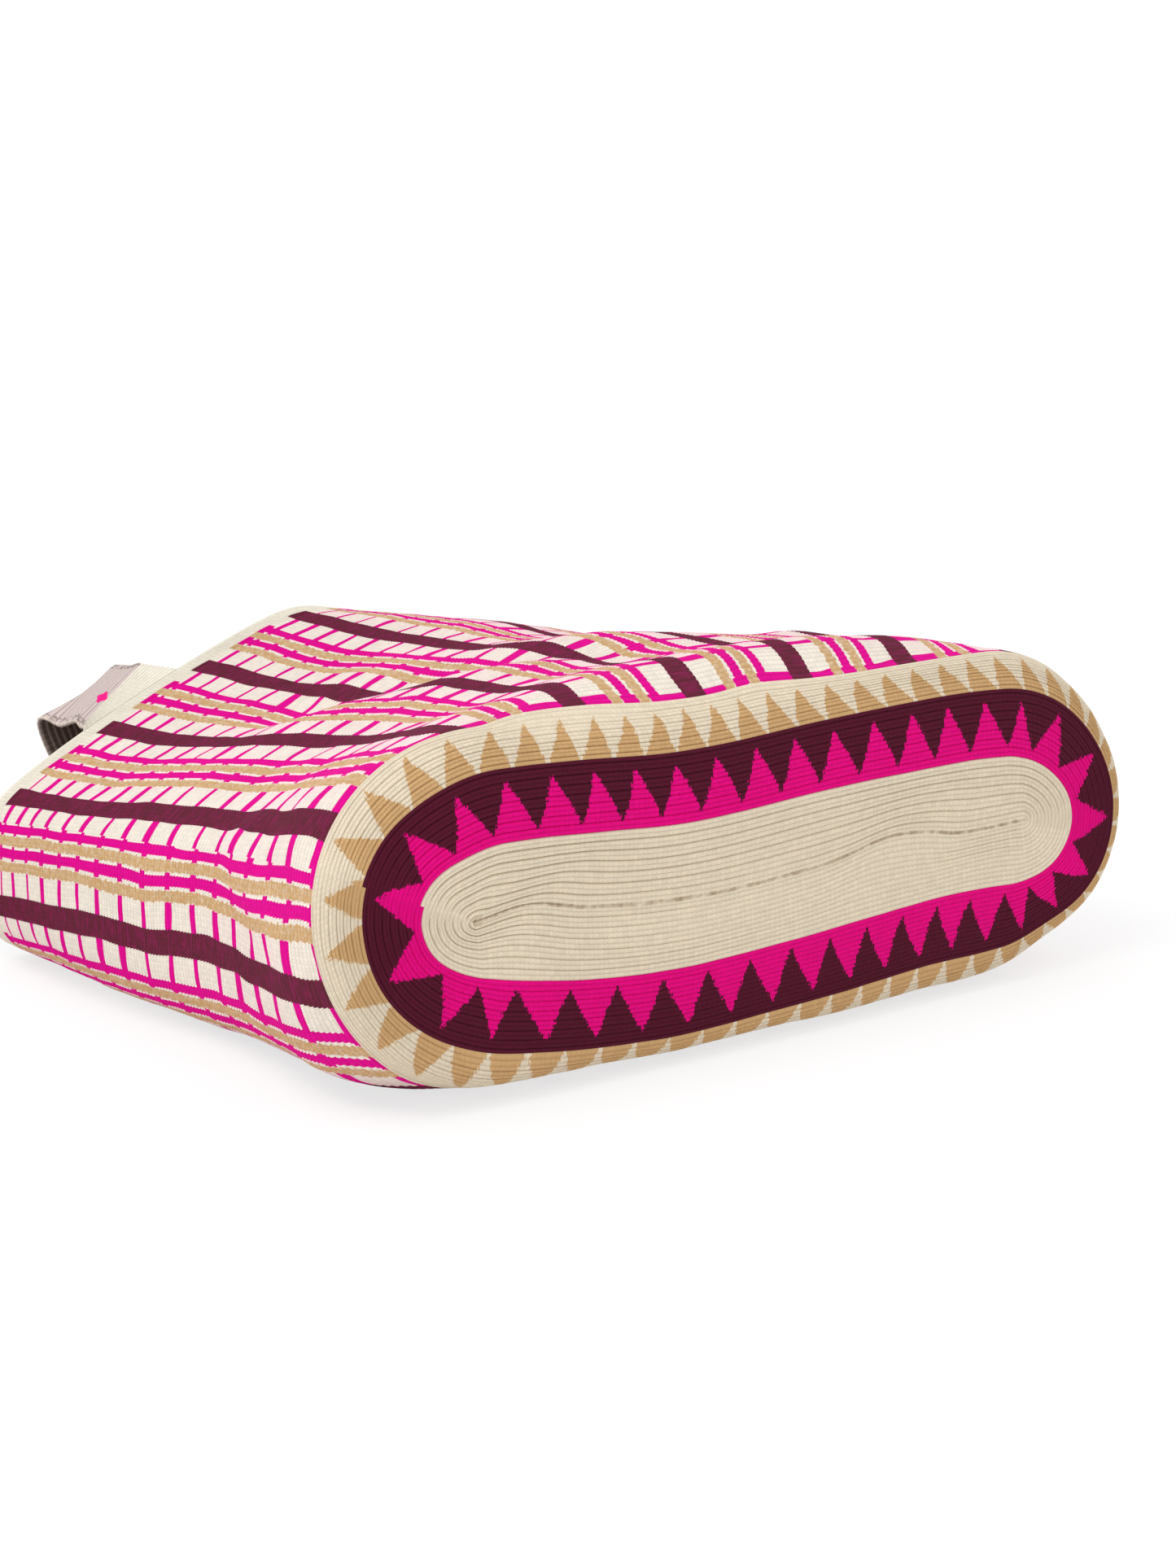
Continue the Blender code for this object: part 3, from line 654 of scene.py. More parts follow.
def border_teeth(rows, on_oval):
    """The count of the border's teeth along each round. On their way outwards the teeth lean back and
    curve."""
    outwards = np.clip((rows - TEETH_END) / TOOTH_ROUNDS, 0, 1)[:, None]
    lean, curve = (np.interp(np.mod(on_oval, 1), *np.transpose(table)) for table in (TOOTH_LEAN, TOOTH_CURVE))
    bend = 0.2 * outwards + curve * 4 * outwards * (1 - outwards)
    return counted(BORDER_PLACES, BORDER_TOTAL, on_oval) + bend - lean * (0.6 * outwards**3 + 0.4 * outwards)


def make_base():
    size = sizes()
    form = BagForm()
    share = np.arange(STEPS_ROUND + 1) / STEPS_ROUND
    on_oval = share + CAP_SPREAD / (4 * math.pi) * np.sin(4 * math.pi * share) + TWIST
    counts = np.linspace(-0.5, BASE_ROUNDS + 0.5, (BASE_ROUNDS + 1) * BASE_STEPS_A_ROUND + 1)
    places = base_places(counts, share, on_oval)
    outer, normals = form.skin(places)
    edge = np.clip(np.minimum(places, BASE_ROUNDS + edge_strays(share) - places) * 2, 0, 1)
    wander = size.unevenness * (unevenness(outer, 0.045, 1) + 0.35 * unevenness(outer, 0.014, 4))
    relief = (wander - base_grooves(counts, share, outer)) * edge
    inside_places = np.linspace(BASE_ROUNDS, 0, BASE_INSIDE_STEPS)
    inner, inner_normals = form.skin(inside_places[:, None] * (1 + edge_strays(share) / BASE_ROUNDS))
    inner_normals[-1] = (0, -1, 0)
    inner = inner - inner_normals * size.wall
    points = close_underside(np.concatenate([outer + normals * relief[..., None], inner]))

    rows = np.concatenate([counts, inside_places])
    stitch = stitch_counts(np.concatenate([outer, inner]))
    tooth = np.broadcast_to(counted(TEETH_PLACES, TEETH_TOTAL, on_oval), points.shape[:2])
    per_stitch = np.gradient(tooth, axis=1) / np.maximum(np.gradient(stitch[0], axis=1), 1e-3)
    first_teeth = per_stitch[np.argmin(np.abs(counts - CREAM_ROUNDS - 2.5))]
    maps = {
        "Stitches": np.stack(np.broadcast_arrays(stitch, rows[:, None]), axis=-1),
        "Teeth": np.stack([tooth, per_stitch], axis=-1),
        "Border": np.stack([border_teeth(rows, on_oval), np.minimum(per_stitch / first_teeth, 1.2)], axis=-1),
    }
    return finished_piece(rolled_mesh("bag_base", points, maps), base_material(), "crochet", "bag_shell")


def make_wall():
    """The wall from the border's edge to the rim, over the rim and back down the inside."""
    size = sizes()
    form = BagForm()
    share = np.arange(STEPS_ROUND + 1) / STEPS_ROUND
    counts = np.linspace(BASE_ROUNDS - 0.5, RIM_ROUND + 0.5, (WALL_ROUNDS + 1) * WALL_STEPS_A_ROUND + 1)
    start = BASE_ROUNDS + edge_strays(share)
    places = counts[:, None] - (share - 0.5)
    places += (1 - eased((counts - BASE_ROUNDS) / EDGE_STRAY_ROUNDS))[:, None] * edge_strays(share)
    places = np.clip(places, start, RIM_ROUND)
    points, normals = form.skin(places)
    from_edges = np.minimum(places - start, RIM_ROUND - places)
    depth = size.wall_groove * groove(counts)[:, None] * np.clip(from_edges * 2, 0, 1)
    wander = size.unevenness * (unevenness(points, 0.035, 2) + 0.4 * unevenness(points, 0.012, 3))
    points = points + normals * (wander * np.clip(from_edges / 6, 0, 1) - depth)[..., None]
    middle = points[-1] - normals[-1] * size.wall / 2
    lip = []
    for angle in math.pi * np.arange(1, LIP_STEPS) / LIP_STEPS:
        out = normals[-1] * size.wall / 2 * math.cos(angle)
        lip.append(middle + out + np.array([0, size.lip * math.sin(angle), 0]))
    inside_places = np.linspace(RIM_ROUND, BASE_ROUNDS, INSIDE_STEPS)
    inside_share = (inside_places - BASE_ROUNDS)[:, None] / WALL_ROUNDS
    inner, inner_normals = form.skin(start + inside_share * (RIM_ROUND - start))
    inner = inner - inner_normals * size.wall
    points = close_underside(np.concatenate([points, lip, inner, points[:1]]))

    lip_rows = np.linspace(RIM_ROUND + 0.5, RIM_ROUND + 2, LIP_STEPS + 1)[1:-1]
    inner_rows = np.where(inside_places > PATTERN_END, RIM_ROUND + 2, inside_places)
    rows = np.concatenate([counts, lip_rows, inner_rows, counts[:1]])
    meander = 0.9 * unevenness(points, 0.05, 5) + 0.45 * unevenness(points, 0.018, 6)
    stitches = np.stack(np.broadcast_arrays(share * ROUND_STITCHES + meander, rows[:, None]), axis=2)
    mesh = rolled_mesh("bag_wall", points, {"Stitches": stitches})
    return finished_piece(mesh, wall_material(), "crochet", "bag_shell")


def rim_place(share):
    """A point of the rim's middle line, and the way along the rim there."""
    size = sizes()
    points, normals = BagForm().skin(np.full((1, STEPS_ROUND + 1), float(RIM_ROUND)))
    line = close_underside(points)[0, :-1] - normals[0, :-1] * size.wall / 2
    at = share * STEPS_ROUND
    first, part = int(at), at - int(at)
    here = line[first % STEPS_ROUND] * (1 - part) + line[(first + 1) % STEPS_ROUND] * part
    ahead = line[(first + 10) % STEPS_ROUND] - line[(first - 9) % STEPS_ROUND]
    ahead[1] = 0
    inwards = ahead / np.linalg.norm(ahead)
    if here[0] * inwards[0] > 0:
        inwards = -inwards
    here[2] = max(here[2], size.tab_thickness / 2)
    return here, inwards


def band_frames(centres, sides):
    """The way ahead, the side and the upper face's normal at each step along a band."""
    ahead = np.gradient(centres, axis=0)
    ahead[0] = (0, np.sign(ahead[0, 1]), 0)
    ahead[-1] = (0, np.sign(ahead[-1, 1]), 0)
    ahead /= np.linalg.norm(ahead, axis=1, keepdims=True)
    sides = sides - ahead * np.sum(sides * ahead, axis=1, keepdims=True)
    sides /= np.linalg.norm(sides, axis=1, keepdims=True)
    return ahead, sides, np.cross(sides, ahead)


def band_section(steps):
    """A flat section with rounded edges: from -1 to 1 across, and from -1 to 1 through its thickness."""
    angle = np.linspace(0, 2 * math.pi, steps + 1)
    return (np.sign(turn) * np.abs(turn) ** (1 / 3) for turn in (np.cos(angle), np.sin(angle)))


def band_points(centres, sides, widths, skews, thicknesses, section_steps):
    """A band along its centres, closed at both ends. It returns its points, and how far across and through
    the band each step of its section lies."""
    ahead, sides, ups = band_frames(centres, sides)
    across, through = band_section(section_steps)
    off = across * widths[:, None] / 2
    points = (
        centres[:, None]
        + sides[:, None] * off[..., None]
        + ahead[:, None] * (off * skews[:, None])[..., None]
        + ups[:, None] * (through * thicknesses[:, None] / 2)[..., None]
    )
    first, last = (np.broadcast_to(points[i].mean(axis=0), (1, *points[i].shape)) for i in (0, -1))
    return close_underside(np.concatenate([first, points, last])), across, through


def make_tab(name, share):
    """A crocheted tab that grows out of the rim. It returns its far edge's middle and the way towards the
    bag's middle."""
    size = sizes()
    start, inwards = rim_place(share)
    t = np.linspace(0, 1, TAB_ROUNDS * 4 + 1)
    centres = start + np.array([0, size.lip + size.tab_depth, 0]) * t[:, None]
    sides = np.tile(inwards, (len(t), 1))
    widths = size.tab_width + (size.strap_width - size.tab_width) * t
    thicknesses = size.tab_thickness * (1 - TAB_GROOVE * groove(t * TAB_ROUNDS))
    points, across, _ = band_points(centres, sides, widths, TAB_SKEW * t, thicknesses, TAB_SECTION_STEPS)
    rows = np.concatenate([[0], t * TAB_ROUNDS, [TAB_ROUNDS]]) + RIM_ROUND
    stitches = np.stack(np.broadcast_arrays(across * 10, rows[:, None]), axis=2)
    finished_piece(rolled_mesh(name, points, {"Stitches": stitches}), plain_material(), "crochet_tab", name)
    return centres[-1], inwards


def make_strap(name, left_end, right_end, bends):
    """A woven strap from its left tab to its right one, on its edge or flat on the floor as its bends say."""
    size = sizes()
    width, thickness = size.strap_width, size.strap_thickness
    places, sides = [], []
    for at, side in bends:
        place = np.array(at) * width + np.array([0, size.depth - MIDDLE, 0])
        side = np.array(side) / np.linalg.norm(side)
        place[2] = max(place[2], width / 2 * abs(side[2]) + thickness / 2 + CLEARANCE)
        places.append(place)
        sides.append(side)
    for (middle, inwards), order in ((left_end, 1), (right_end, -1)):
        ends = [middle, middle + np.array([0, width / 8, 0])][::order]
        places = ends + places if order == 1 else places + ends
        sides = [inwards] * 2 + sides if order == 1 else sides + [inwards] * 2
    length = np.concatenate([[0], np.cumsum(np.linalg.norm(np.diff(places, axis=0), axis=1))])
    at = np.linspace(0, length[-1], int(length[-1] / STRAP_STEP) + 1)
    centres, turned = (smooth_through(length, values, at) for values in (places, sides))
    skews = TAB_SKEW * (np.clip(1 - at / width, 0, 1) - np.clip(1 - (length[-1] - at) / width, 0, 1))
    thicknesses = thickness * (1 + RIB * np.cos(at / (WEFT_PITCH * MILLIMETRE) * 2 * math.pi))
    widths = np.full(len(at), width)
    points, across, through = band_points(centres, turned, widths, skews, thicknesses, STRAP_SECTION_STEPS)
    rows = np.concatenate([[0], at, [at[-1]]])[:, None] / MILLIMETRE
    maps = {
        "Stitches": np.stack(np.broadcast_arrays(across * width / 2 / MILLIMETRE, rows), axis=2),
        "Faces": np.stack(np.broadcast_arrays(through, rows), axis=2),
    }
    return finished_piece(rolled_mesh(name, points, maps), strap_material(), "webbing", name)


class Wire:
    """A value in a node tree. The usual signs work it out further, so that a chart reads as its sums."""

    def __init__(self, wiring, socket):
        self.wiring = wiring
        self.socket = socket

    def __add__(self, other):
        return self.wiring.math("ADD", self, other)

    def __sub__(self, other):
        return self.wiring.math("SUBTRACT", self, other)

    def __rsub__(self, other):
        return self.wiring.math("SUBTRACT", other, self)

    def __mul__(self, other):
        return self.wiring.math("MULTIPLY", self, other)

    def __truediv__(self, other):
        return self.wiring.math("DIVIDE", self, other)

    def __mod__(self, other):
        return self.wiring.math("FLOORED_MODULO", self, other)

    def __pow__(self, other):
        return self.wiring.math("POWER", self, other)

    def __lt__(self, other):
        return self.wiring.math("LESS_THAN", self, other)

    def __gt__(self, other):
        return self.wiring.math("GREATER_THAN", self, other)

    def __abs__(self):
        return self.wiring.math("ABSOLUTE", self)

    def __floor__(self):
        return self.wiring.math("FLOOR", self)


class Wiring:
    """Short calls that place and join nodes in one tree."""

    def __init__(self, tree):
        self.tree = tree

    def add(self, kind, inputs=None, **settings):
        node = self.tree.nodes.new(kind)
        for key, value in settings.items():
            setattr(node, key, value)
        for key, value in (inputs or {}).items():
            self.put(node.inputs[key], value)
        return node

    def put(self, socket, value):
        if isinstance(value, Wire):
            self.tree.links.new(value.socket, socket)
        else:
            socket.default_value = value

    def out(self, output, kind, inputs=None, **settings):
        """One output of a new node."""
        return Wire(self, self.add(kind, inputs, **settings).outputs[output])

    def math(self, operation, *values):
        return self.out(0, "ShaderNodeMath", dict(enumerate(values)), operation=operation)

    def largest(self, *values):
        """The largest of the values, which for masks is where any of them is 1."""
        result = values[0]
        for value in values[1:]:
            result = self.math("MAXIMUM", result, value)
        return result

    def between(self, value, low, high):
        """1 where the value lies between low and high, and 0 elsewhere."""
        return (value > low) * (value < high)

    def mix(self, mask, under, over):
        node = self.add("ShaderNodeMix", data_type="RGBA")
        for number, value in ((0, mask), (6, under), (7, over)):
            self.put(node.inputs[number], value)
        return Wire(self, node.outputs[2])

    def here(self):
        return self.out("Object", "ShaderNodeTexCoord")

    def split(self, vector):
        """A vector's first two parts."""
        parts = self.add("ShaderNodeSeparateXYZ", {0: vector}).outputs
        return Wire(self, parts[0]), Wire(self, parts[1])

    def uv_map(self, name):
        return self.split(self.out(0, "ShaderNodeUVMap", uv_map=name))

    def cloud(self, place, scale, detail):
        """Soft noise from 0 to 1."""
        return self.out("Fac", "ShaderNodeTexNoise", {"Vector": place, "Scale": scale, "Detail": detail})

    def place(self, x, y):
        return self.out(0, "ShaderNodeCombineXYZ", {0: x, 1: y})

    def chance(self, x, y):
        """A chance value for each whole pair of x and y."""
        place = self.place(math.floor(x), math.floor(y))
        return self.out("Value", "ShaderNodeTexWhiteNoise", {"Vector": place}, noise_dimensions="2D")

    def tone(self, colour, value):
        return self.out(0, "ShaderNodeHueSaturation", {"Value": value, "Color": colour})

    def group(self, tree, inputs):
        """Places a node group. It returns its outputs by name."""
        node = self.add("ShaderNodeGroup", inputs, node_tree=tree)
        return {socket.name: Wire(self, socket) for socket in node.outputs}


def new_group(name, inputs, outputs):
    """An empty node group with its sockets. It returns the group, its wiring, its inputs by name and its
    outputs' sockets."""
    group = bpy.data.node_groups.new(name, "ShaderNodeTree")
    for way, names in (("INPUT", inputs), ("OUTPUT", outputs)):
        for socket_name in names:
            kind = "NodeSocketColor" if socket_name in COLOUR_SOCKETS else "NodeSocketFloat"
            group.interface.new_socket(socket_name, in_out=way, socket_type=kind)
    w = Wiring(group)
    given = w.add("NodeGroupInput").outputs
    return group, w, {key: Wire(w, given[key]) for key in inputs}, w.add("NodeGroupOutput").inputs


def new_material(name):
    """A new material with its wiring and its shader."""
    material = bpy.data.materials.new(name)
    material.use_nodes = True
    return material, Wiring(material.node_tree), material.node_tree.nodes["Principled BSDF"]


def dye(name):
    return (*getattr(colours(), name), 1.0)


def stitch_group():
    """Crochet stitches in relief: two legs of yarn in each stitch, which lean apart as they rise."""
    if "Crochet Stitch" in bpy.data.node_groups:
        return bpy.data.node_groups["Crochet Stitch"]
    group, w, given, out = new_group("Crochet Stitch", ("Stitch", "Row", "Lean"), ("Height",))
    row = given["Row"] % 1
    stitch = (given["Stitch"] + row * given["Lean"]) % 1
    from_leg = abs(abs(stitch - 0.5) - (row * LEG_SPREAD + LEG_FOOT))
    leg = (1.0 - w.math("MINIMUM", from_leg / LEG_WIDTH, 1.0)) ** 0.6
    mound = w.math("SINE", row * math.pi) ** 0.5
    w.put(out["Height"], mound * (leg * 0.5 + 0.5))
    return group


def yarn_group():
    """Cotton yarn: each stitch a little lighter or darker than its neighbours, and painted shade darkening
    the hollows.
    """
    if "Cotton Yarn" in bpy.data.node_groups:
        return bpy.data.node_groups["Cotton Yarn"]
    inputs = ("Color", "Stitch", "Row", "Shade", "Depth", "Spread")
    group, w, given, out = new_group("Cotton Yarn", inputs, ("Color", "Roughness", "Fibre"))
    here = w.here()
    slow = w.cloud(here, 28.0, 3.0)
    fine = w.cloud(here, 2600.0, 2.0)
    single = w.chance(given["Stitch"], given["Row"])
    both = (single - 0.5) + (slow - 0.5) * 1.2 + (fine - 0.5) * 0.8
    # Painted shade: the colour is darkened in the hollows between the stitches' legs, as far as Depth says
    hollow = 1.0 - (1.0 - given["Shade"]) * given["Depth"]
    w.put(out["Color"], w.tone(given["Color"], (both * given["Spread"] + 1.0) * hollow))
    w.put(out["Roughness"], fine * 0.12 + 0.80)
    w.put(out["Fibre"], fine)
    return group


def base_pattern_group():
    """The base's chart: cream centre, pink and maroon teeth, and the border's tan teeth on cream."""
    counts = ("Stitch", "Row", "Tooth", "Teeth a Stitch", "Border Tooth", "Tooth Width")
    group, w, given, out = new_group("Base Pattern", (*counts, *YARNS), ("Color",))
    row = math.floor(given["Row"])
    stepped = given["Row"] % 1 * ROUND_SLOPE + (row + 0.2)
    to_middle = (math.floor(given["Stitch"] * 2.0) + 0.5) * 0.5 - given["Stitch"]
    squared = to_middle * STITCH_SQUARE
    fray = w.cloud(w.here(), 620.0, 1.0) * 0.16 - 0.08

    since = stepped - (CREAM_ROUNDS + 1.5)
    tooth = squared * given["Teeth a Stitch"] + given["Tooth"] + (since * 0.006 + fray)
    half_width = (since * (-0.5 / TOOTH_ROUNDS) + 0.5) * given["Tooth Width"]
    in_zone = w.between(row, CREAM_ROUNDS + 0.5, TEETH_END - 0.5)
    maroon = (abs(tooth % 1 - 0.5) > half_width) * in_zone
    colour = w.mix(row > CREAM_ROUNDS - 0.5, given["Cream"], given["Pink"])
    colour = w.mix(maroon, colour, given["Maroon"])

    place = squared * BORDER_TEETH_A_STITCH + given["Border Tooth"] + fray
    half_width = (stepped - TEETH_END) * (-TAN_HALF_WIDTH / TAN_ROUNDS) + TAN_HALF_WIDTH
    border = row > TEETH_END - 0.5
    tan = border * (abs(place % 1 - 0.5) < half_width)
    colour = w.mix(border, colour, given["Cream"])
    w.put(out["Color"], w.mix(tan, colour, given["Tan"]))
    return group


def wall_pattern_group():
    """The wall's chart: sixteen columns, each a maroon stripe, a laddered cream cell, strips of tan and
    pink, and another cell."""
    group, w, given, out = new_group("Wall Pattern", ("Stitch", "Row", *YARNS), ("Color",))
    here = w.here()
    row = math.floor(given["Row"])
    slant = (given["Row"] % 1 - 0.5) * 0.20
    turned = given["Stitch"] + slant - TURN * ROUND_STITCHES
    place = turned % COLUMN_STITCHES
    since = row - BASE_ROUNDS
    moved = given["Row"] - BASE_ROUNDS + (w.cloud(here, 45.0, 1.0) * 1.6 - 0.8)

    at_rung = moved + FIRST_RUNG
    off = abs(at_rung % RUNG_ROUNDS - RUNG_ROUNDS / 2)
    chance = w.chance(at_rung / RUNG_ROUNDS, turned / (COLUMN_STITCHES / 2))
    near_base = 1.0 - since / WALL_ROUNDS
    thick = chance**1.4 * 1.4 + (near_base * 0.3 + 1.1)
    heads = row > HEADS_START
    rung = (off < thick * 0.5) * (row < HEADS_START)
    cell = w.largest(*(w.between(place, *edges) for edges in CELLS))
    crossed = cell * w.largest(rung, since < 0.5)

    dashes = w.largest((off < NUB_HALF) * 0.8, heads)
    (low, high), (second_low, second_high) = PINK_STRIPS
    pink = (place > dashes * -0.7 + low) * (place < dashes * 0.7 + high)
    second = (place > dashes * -0.6 + second_low) * (place < heads * 0.6 + second_high)

    fuzz = w.cloud(here, 520.0, 2.0)
    scallop = abs(moved * 0.5 % 1 - 0.5) * 0.5 + (fuzz * 0.6 - 0.3)
    off_tan = w.math("MINIMUM", *(abs(place - middle) for middle in TAN_STRIPS))
    tan = off_tan + scallop < TAN_HALF
    pale = w.largest(fuzz - 0.42, 0.0) * 1.1
    streak = w.cloud(w.place(given["Stitch"] * 0.35, given["Row"] * 1.1), 1.0, 2.0)
    streak = w.largest(streak - 0.44, 0.0) * 0.55
    maroon = w.largest(place < MAROON_HALF, place > COLUMN_STITCHES - MAROON_HALF)

    colour = w.mix(tan, given["Cream"], w.mix(pale, given["Tan"], given["Cream"]))
    colour = w.mix(w.largest(pink, second, crossed), colour, given["Pink"])
    colour = w.mix(maroon, colour, w.mix(streak, given["Maroon"], given["Pink"]))
    w.put(out["Color"], w.mix(row > PATTERN_END - 0.5, colour, given["Cream"]))
    return group


def seam_shade(w, row):
    """How much shade is painted into the broken slit in the base's middle, and into the hollow at its left
    end.
    """
    here = w.here()
    slit = (row < 0.36) * (w.cloud(here, 260.0, 3.0) * 3.0 - 1.05)
    x, _ = w.split(here)
    hollow = (x < -sizes().run_half - sizes().seam_reach * 0.75) * (row < 1.15)
    return w.largest(slit, hollow * 0.45, 0.0) * 0.75


def crochet_material(name, pattern, depth, spread, seam=False):
    """A crochet material: its colour comes from the pattern, and its relief from the stitches. Depth is how
    dark the shade painted into its hollows is, and spread how much its stitches differ. With seam, shade is
    also painted into the slit in the base's middle and the hollow at its left end."""
    material, w, shader = new_material(name)
    stitch, row = w.uv_map("Stitches")
    counts = {"Stitch": stitch, "Row": row}
    height = w.group(stitch_group(), {**counts, "Lean": 0.35})["Height"]
    given = {**counts, "Color": pattern(w, counts), "Shade": height, "Depth": depth, "Spread": spread}
    yarn = w.group(yarn_group(), given)
    relief = {"Height": height + yarn["Fibre"] * 0.15, "Strength": 0.8, "Distance": 0.0006}
    # With seam, painted shade darkens the slit in the base's middle and the hollow at its left end
    shaded_colour = w.mix(seam_shade(w, row), yarn["Color"], PAINTED_SEAM_SHADE) if seam else yarn["Color"]
    w.put(shader.inputs["Base Color"], shaded_colour)
    w.put(shader.inputs["Roughness"], yarn["Roughness"])
    w.put(shader.inputs["Normal"], w.out(0, "ShaderNodeBump", relief))
    shader.inputs["Specular IOR Level"].default_value = 0.1
    return material


def base_material():
    def pattern(w, counts):
        tooth, teeth_a_stitch = w.uv_map("Teeth")
        border_tooth, tooth_width = w.uv_map("Border")
        teeth = {"Tooth": tooth, "Teeth a Stitch": teeth_a_stitch}
        border = {"Border Tooth": border_tooth, "Tooth Width": tooth_width}
        yarns = {yarn: dye(yarn.lower()) for yarn in YARNS}
        return w.group(base_pattern_group(), {**counts, **teeth, **border, **yarns})["Color"]

    return crochet_material("base crochet", pattern, 0.24, 0.08, seam=True)


def wall_material():
    def pattern(w, counts):
        facing = w.out("Facing", "ShaderNodeLayerWeight", {"Blend": 0.35})
        blush = (counts["Row"] < PATTERN_END + 0.5) * facing**2.6
        cream = w.mix(blush, dye("wall_cream"), dye("blush"))
        yarns = {"Cream": cream, "Pink": dye("wall_pink"), "Maroon": dye("wall_maroon"), "Tan": dye("tan")}
        return w.group(wall_pattern_group(), {**counts, **yarns})["Color"]

    return crochet_material("wall crochet", pattern, 0.22, 0.09)


def plain_material():
    if "plain crochet" in bpy.data.materials:
        return bpy.data.materials["plain crochet"]
    return crochet_material("plain crochet", lambda w, counts: dye("wall_cream"), 0.22, 0.08)


def strap_material():
    """A woven band: grey-mauve weft in fine lines across it, blocks of magenta, pale edges, and an inner face
    painted dark as shade, with pale lines of its weave. Its sizes are millimetres."""
    if "woven strap" in bpy.data.materials:
        return bpy.data.materials["woven strap"]
    material, w, shader = new_material("woven strap")
    across, along = w.uv_map("Stitches")
    face, _ = w.uv_map("Faces")
    # dark serves the weft lines and flecks, and the painted shade of the inner face
    ground, dark = dye("strap_ground"), dye("strap_dark_and_shade")
    weft = along / WEFT_PITCH % 1
    outer = w.mix((weft < 0.28) * 0.55, ground, dark)
    flecks = (abs(across) > FLECKED_FROM) * (w.chance(across / FLECK[0], along / FLECK[1]) > 0.55)
    outer = w.mix(flecks * 0.6, outer, dark)
    off_across, off_along = DIAMOND_OFF
    from_diamond = abs((along + off_along) % DIAMOND_PITCH - DIAMOND_PITCH / 2) * 1.2
    from_diamond = abs(across + off_across) + from_diamond
    outer = w.mix(from_diamond < DIAMOND_REACH, outer, dye("pink"))
    outer = w.mix((abs(across) > EDGED_FROM) * 0.6, outer, w.mix(0.5, dye("cream"), ground))
    # Painted shade: the inner face takes the dark colour as it lies in shade, with pale lines of the weave
    # over it
    inner = w.mix(((across + 24.0) % WARP_PITCH < 1.3) * 0.35, dark, ground)
    fine = w.cloud(w.here(), 1800.0, 2.0)
    toned = w.tone(w.mix(face < 0.0, outer, inner), (fine - 0.5) * 0.5 + 1.0)
    relief = {"Height": w.math("SINE", weft * math.pi) + fine * 0.4, "Strength": 0.7, "Distance": 0.0004}
    w.put(shader.inputs["Base Color"], toned)
    w.put(shader.inputs["Normal"], w.out(0, "ShaderNodeBump", relief))
    shader.inputs["Roughness"].default_value = 0.8
    shader.inputs["Specular IOR Level"].default_value = 0.25
    return material


def make_floor():
    """A wide pale floor. It glows a little to the camera, so that it reads as white and keeps a faint
    shadow."""
    shape = bmesh.new()
    bmesh.ops.create_grid(shape, x_segments=1, y_segments=1, size=9.0)
    bmesh.ops.translate(shape, verts=shape.verts, vec=(0, 0, -0.0004))
    mesh = bpy.data.meshes.new("floor")
    shape.to_mesh(mesh)
    shape.free()
    material, w, shader = new_material("pale floor")
    shader.inputs["Base Color"].default_value = dye("floor")
    shader.inputs["Roughness"].default_value = 0.9
    shader.inputs["Specular IOR Level"].default_value = 0.1
    share = w.out("Is Camera Ray", "ShaderNodeLightPath") * bpy.context.scene.tote_stage.floor_glow
    glow = w.out(0, "ShaderNodeEmission", {"Color": (1, 1, 1, 1), "Strength": 1.0})
    mixed = w.out(0, "ShaderNodeMixShader", {0: share, 1: Wire(w, shader.outputs[0]), 2: glow})
    w.put(material.node_tree.nodes["Material Output"].inputs["Surface"], mixed)
    mesh.materials.append(material)
    floor = bpy.data.objects.new("floor", mesh)
    bpy.context.scene.collection.objects.link(floor)


def make_world():
    world = bpy.data.worlds.new("studio")
    bpy.context.scene.world = world
    world.use_nodes = True
    w = Wiring(world.node_tree)
    seen = w.out("Is Camera Ray", "ShaderNodeLightPath")
    strength = bpy.context.scene.tote_stage.world_strength
    background = world.node_tree.nodes["Background"]
    background.inputs["Color"].default_value = (1.0, 1.0, 1.0, 1.0)
    w.put(background.inputs["Strength"], seen * (1.0 - strength) + strength)


def make_lamp(name, place, aim, size, power):
    lamp = bpy.data.lights.new(name, "AREA")
    lamp.shape = "DISK"
    lamp.size = size
    lamp.energy = power
    thing = bpy.data.objects.new(name, lamp)
    thing.location = place
    thing.rotation_euler = (Vector(aim) - Vector(place)).to_track_quat("-Z", "Y").to_euler()
    bpy.context.scene.collection.objects.link(thing)


def make_camera():
    stage = bpy.context.scene.tote_stage
    camera = bpy.data.cameras.new("camera")
    camera.sensor_width = 36.0
    camera.lens = stage.lens
    camera.clip_end = 60.0
    thing = bpy.data.objects.new("camera", camera)
    bpy.context.scene.collection.objects.link(thing)
    a, e = stage.azimuth, stage.elevation
    ahead = Vector((-math.sin(a) * math.cos(e), math.cos(a) * math.cos(e), -math.sin(e)))
    right = Vector((math.cos(a), math.sin(a), 0))
    up = right.cross(ahead)
    turn = Matrix((right, up, -ahead)).transposed().to_4x4()
    thing.matrix_world = Matrix.Translation(Vector(stage.target) - ahead * stage.distance) @ turn
    bpy.context.scene.camera = thing


class TOTE_OT_base(bpy.types.Operator):
    """Crochet the oval base with its ring of teeth and its border"""

    bl_idname = "tote.base"
    bl_label = "Bag Base"

    def execute(self, context):
        make_base()
        return {"FINISHED"}


class TOTE_OT_wall(bpy.types.Operator):
    """Crochet the striped wall, its rim and its inside"""

    bl_idname = "tote.wall"
    bl_label = "Bag Wall"

    def execute(self, context):
        make_wall()
        return {"FINISHED"}


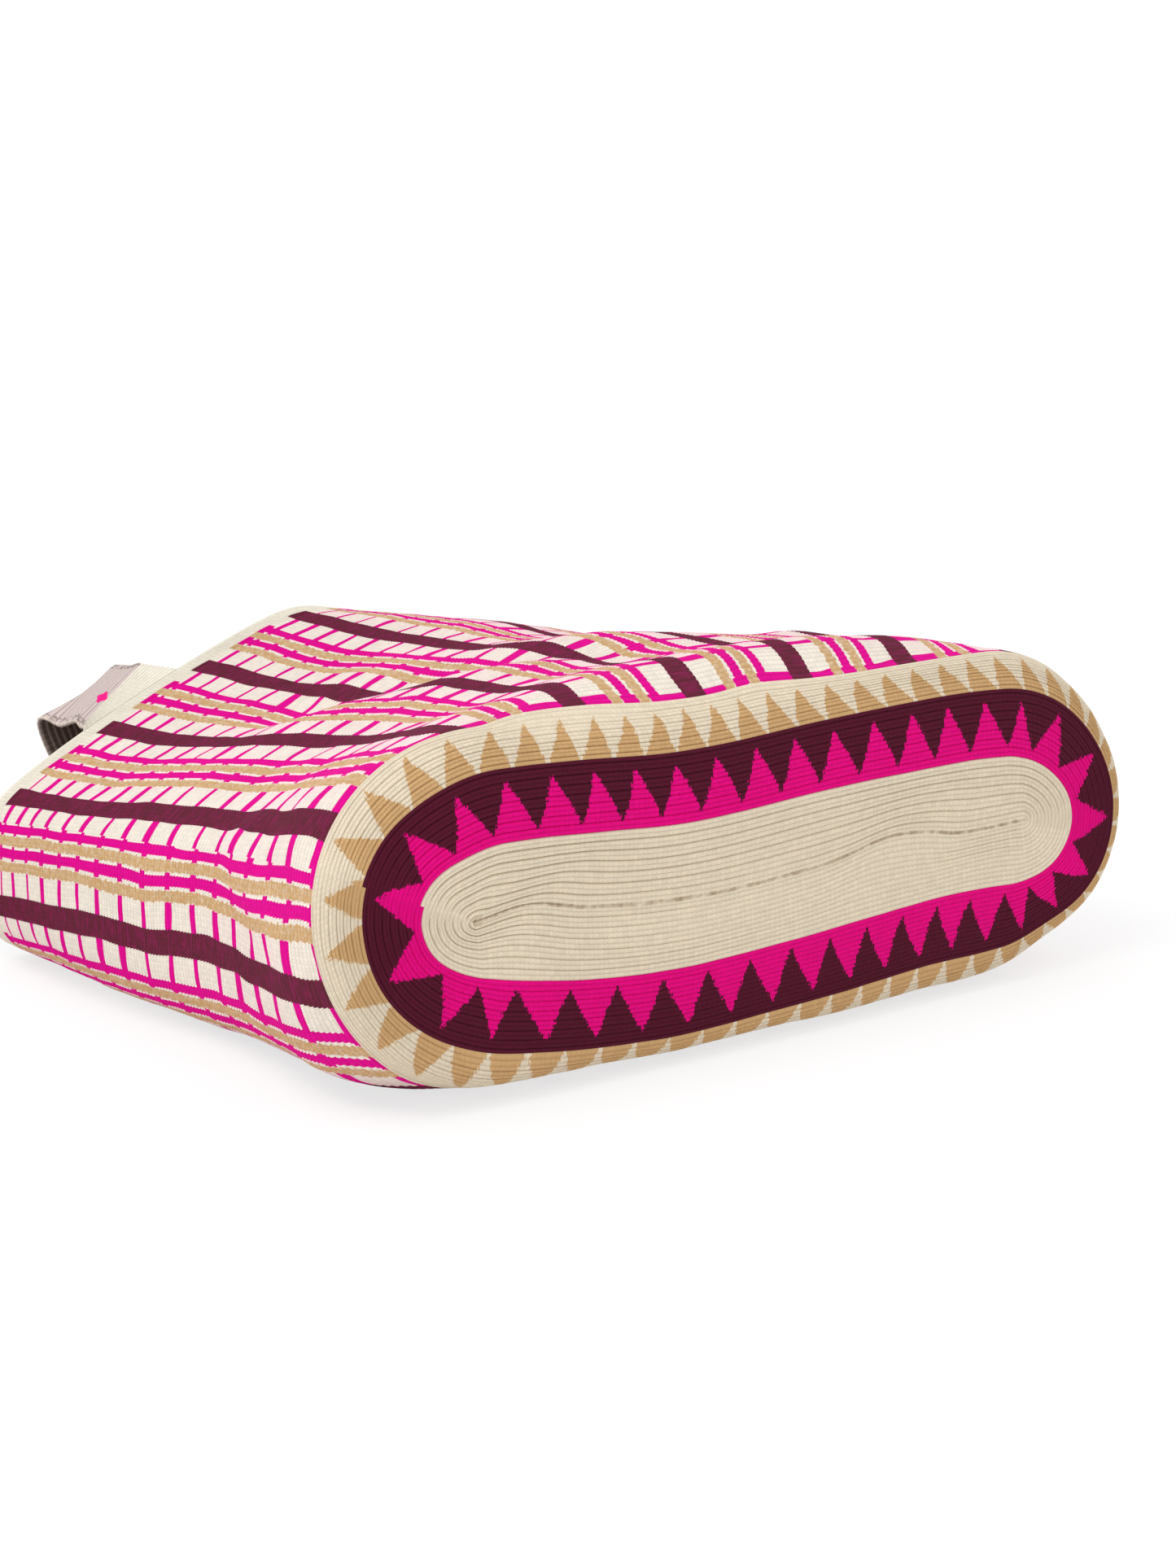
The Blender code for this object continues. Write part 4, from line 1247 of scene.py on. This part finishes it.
class TOTE_OT_straps(bpy.types.Operator):
    """Crochet the tabs on the rim and weave the shoulder straps between them"""

    bl_idname = "tote.straps"
    bl_label = "Straps and Tabs"

    def execute(self, context):
        lower = TAB_MIDDLE + 0.5
        for face, left, right, bends in (
            ("upper", TAB_MIDDLE - TAB_REACH, TAB_MIDDLE + TAB_REACH, UPPER_STRAP),
            ("lower", lower + TAB_REACH, lower - TAB_REACH, LOWER_STRAP),
        ):
            left_end = make_tab(f"strap_tab_{face}_left", left)
            right_end = make_tab(f"strap_tab_{face}_right", right)
            make_strap(f"strap_{face}", left_end, right_end, bends)
        return {"FINISHED"}


class TOTE_OT_stage(bpy.types.Operator):
    """Set up the floor, the light and the camera"""

    bl_idname = "tote.stage"
    bl_label = "Stage"

    def execute(self, context):
        stage = context.scene.tote_stage
        context.scene.view_settings.view_transform = "Standard"
        make_floor()
        make_world()
        make_lamp("key lamp", (-1.5, -0.3, 2.5), (0, 0, 0.05), 1.8, stage.key_power)
        make_camera()
        return {"FINISHED"}


OPERATORS = (TOTE_OT_base, TOTE_OT_wall, TOTE_OT_straps, TOTE_OT_stage)


class TOTE_PT_panel(bpy.types.Panel):
    bl_idname = "TOTE_PT_panel"
    bl_label = "Tote Bag"
    bl_space_type = "VIEW_3D"
    bl_region_type = "UI"
    bl_category = "Tote Bag"

    def draw(self, context):
        for operator in OPERATORS:
            self.layout.operator(operator.bl_idname)
        for group in (context.scene.tote_sizes, context.scene.tote_colours, context.scene.tote_stage):
            box = self.layout.box()
            for name in group.bl_rna.properties.keys():
                if name not in ("rna_type", "name"):
                    box.prop(group, name)


CLASSES = (ToteSizes, ToteColours, ToteStage, *OPERATORS, TOTE_PT_panel)


def register():
    for item in CLASSES:
        bpy.utils.register_class(item)
    bpy.types.Scene.tote_sizes = PointerProperty(type=ToteSizes)
    bpy.types.Scene.tote_colours = PointerProperty(type=ToteColours)
    bpy.types.Scene.tote_stage = PointerProperty(type=ToteStage)


def unregister():
    del bpy.types.Scene.tote_stage
    del bpy.types.Scene.tote_colours
    del bpy.types.Scene.tote_sizes
    for item in reversed(CLASSES):
        bpy.utils.unregister_class(item)


def main():
    register()
    bpy.ops.tote.base()
    bpy.ops.tote.wall()
    bpy.ops.tote.straps()
    bpy.ops.tote.stage()


if __name__ == "__main__":
    main()
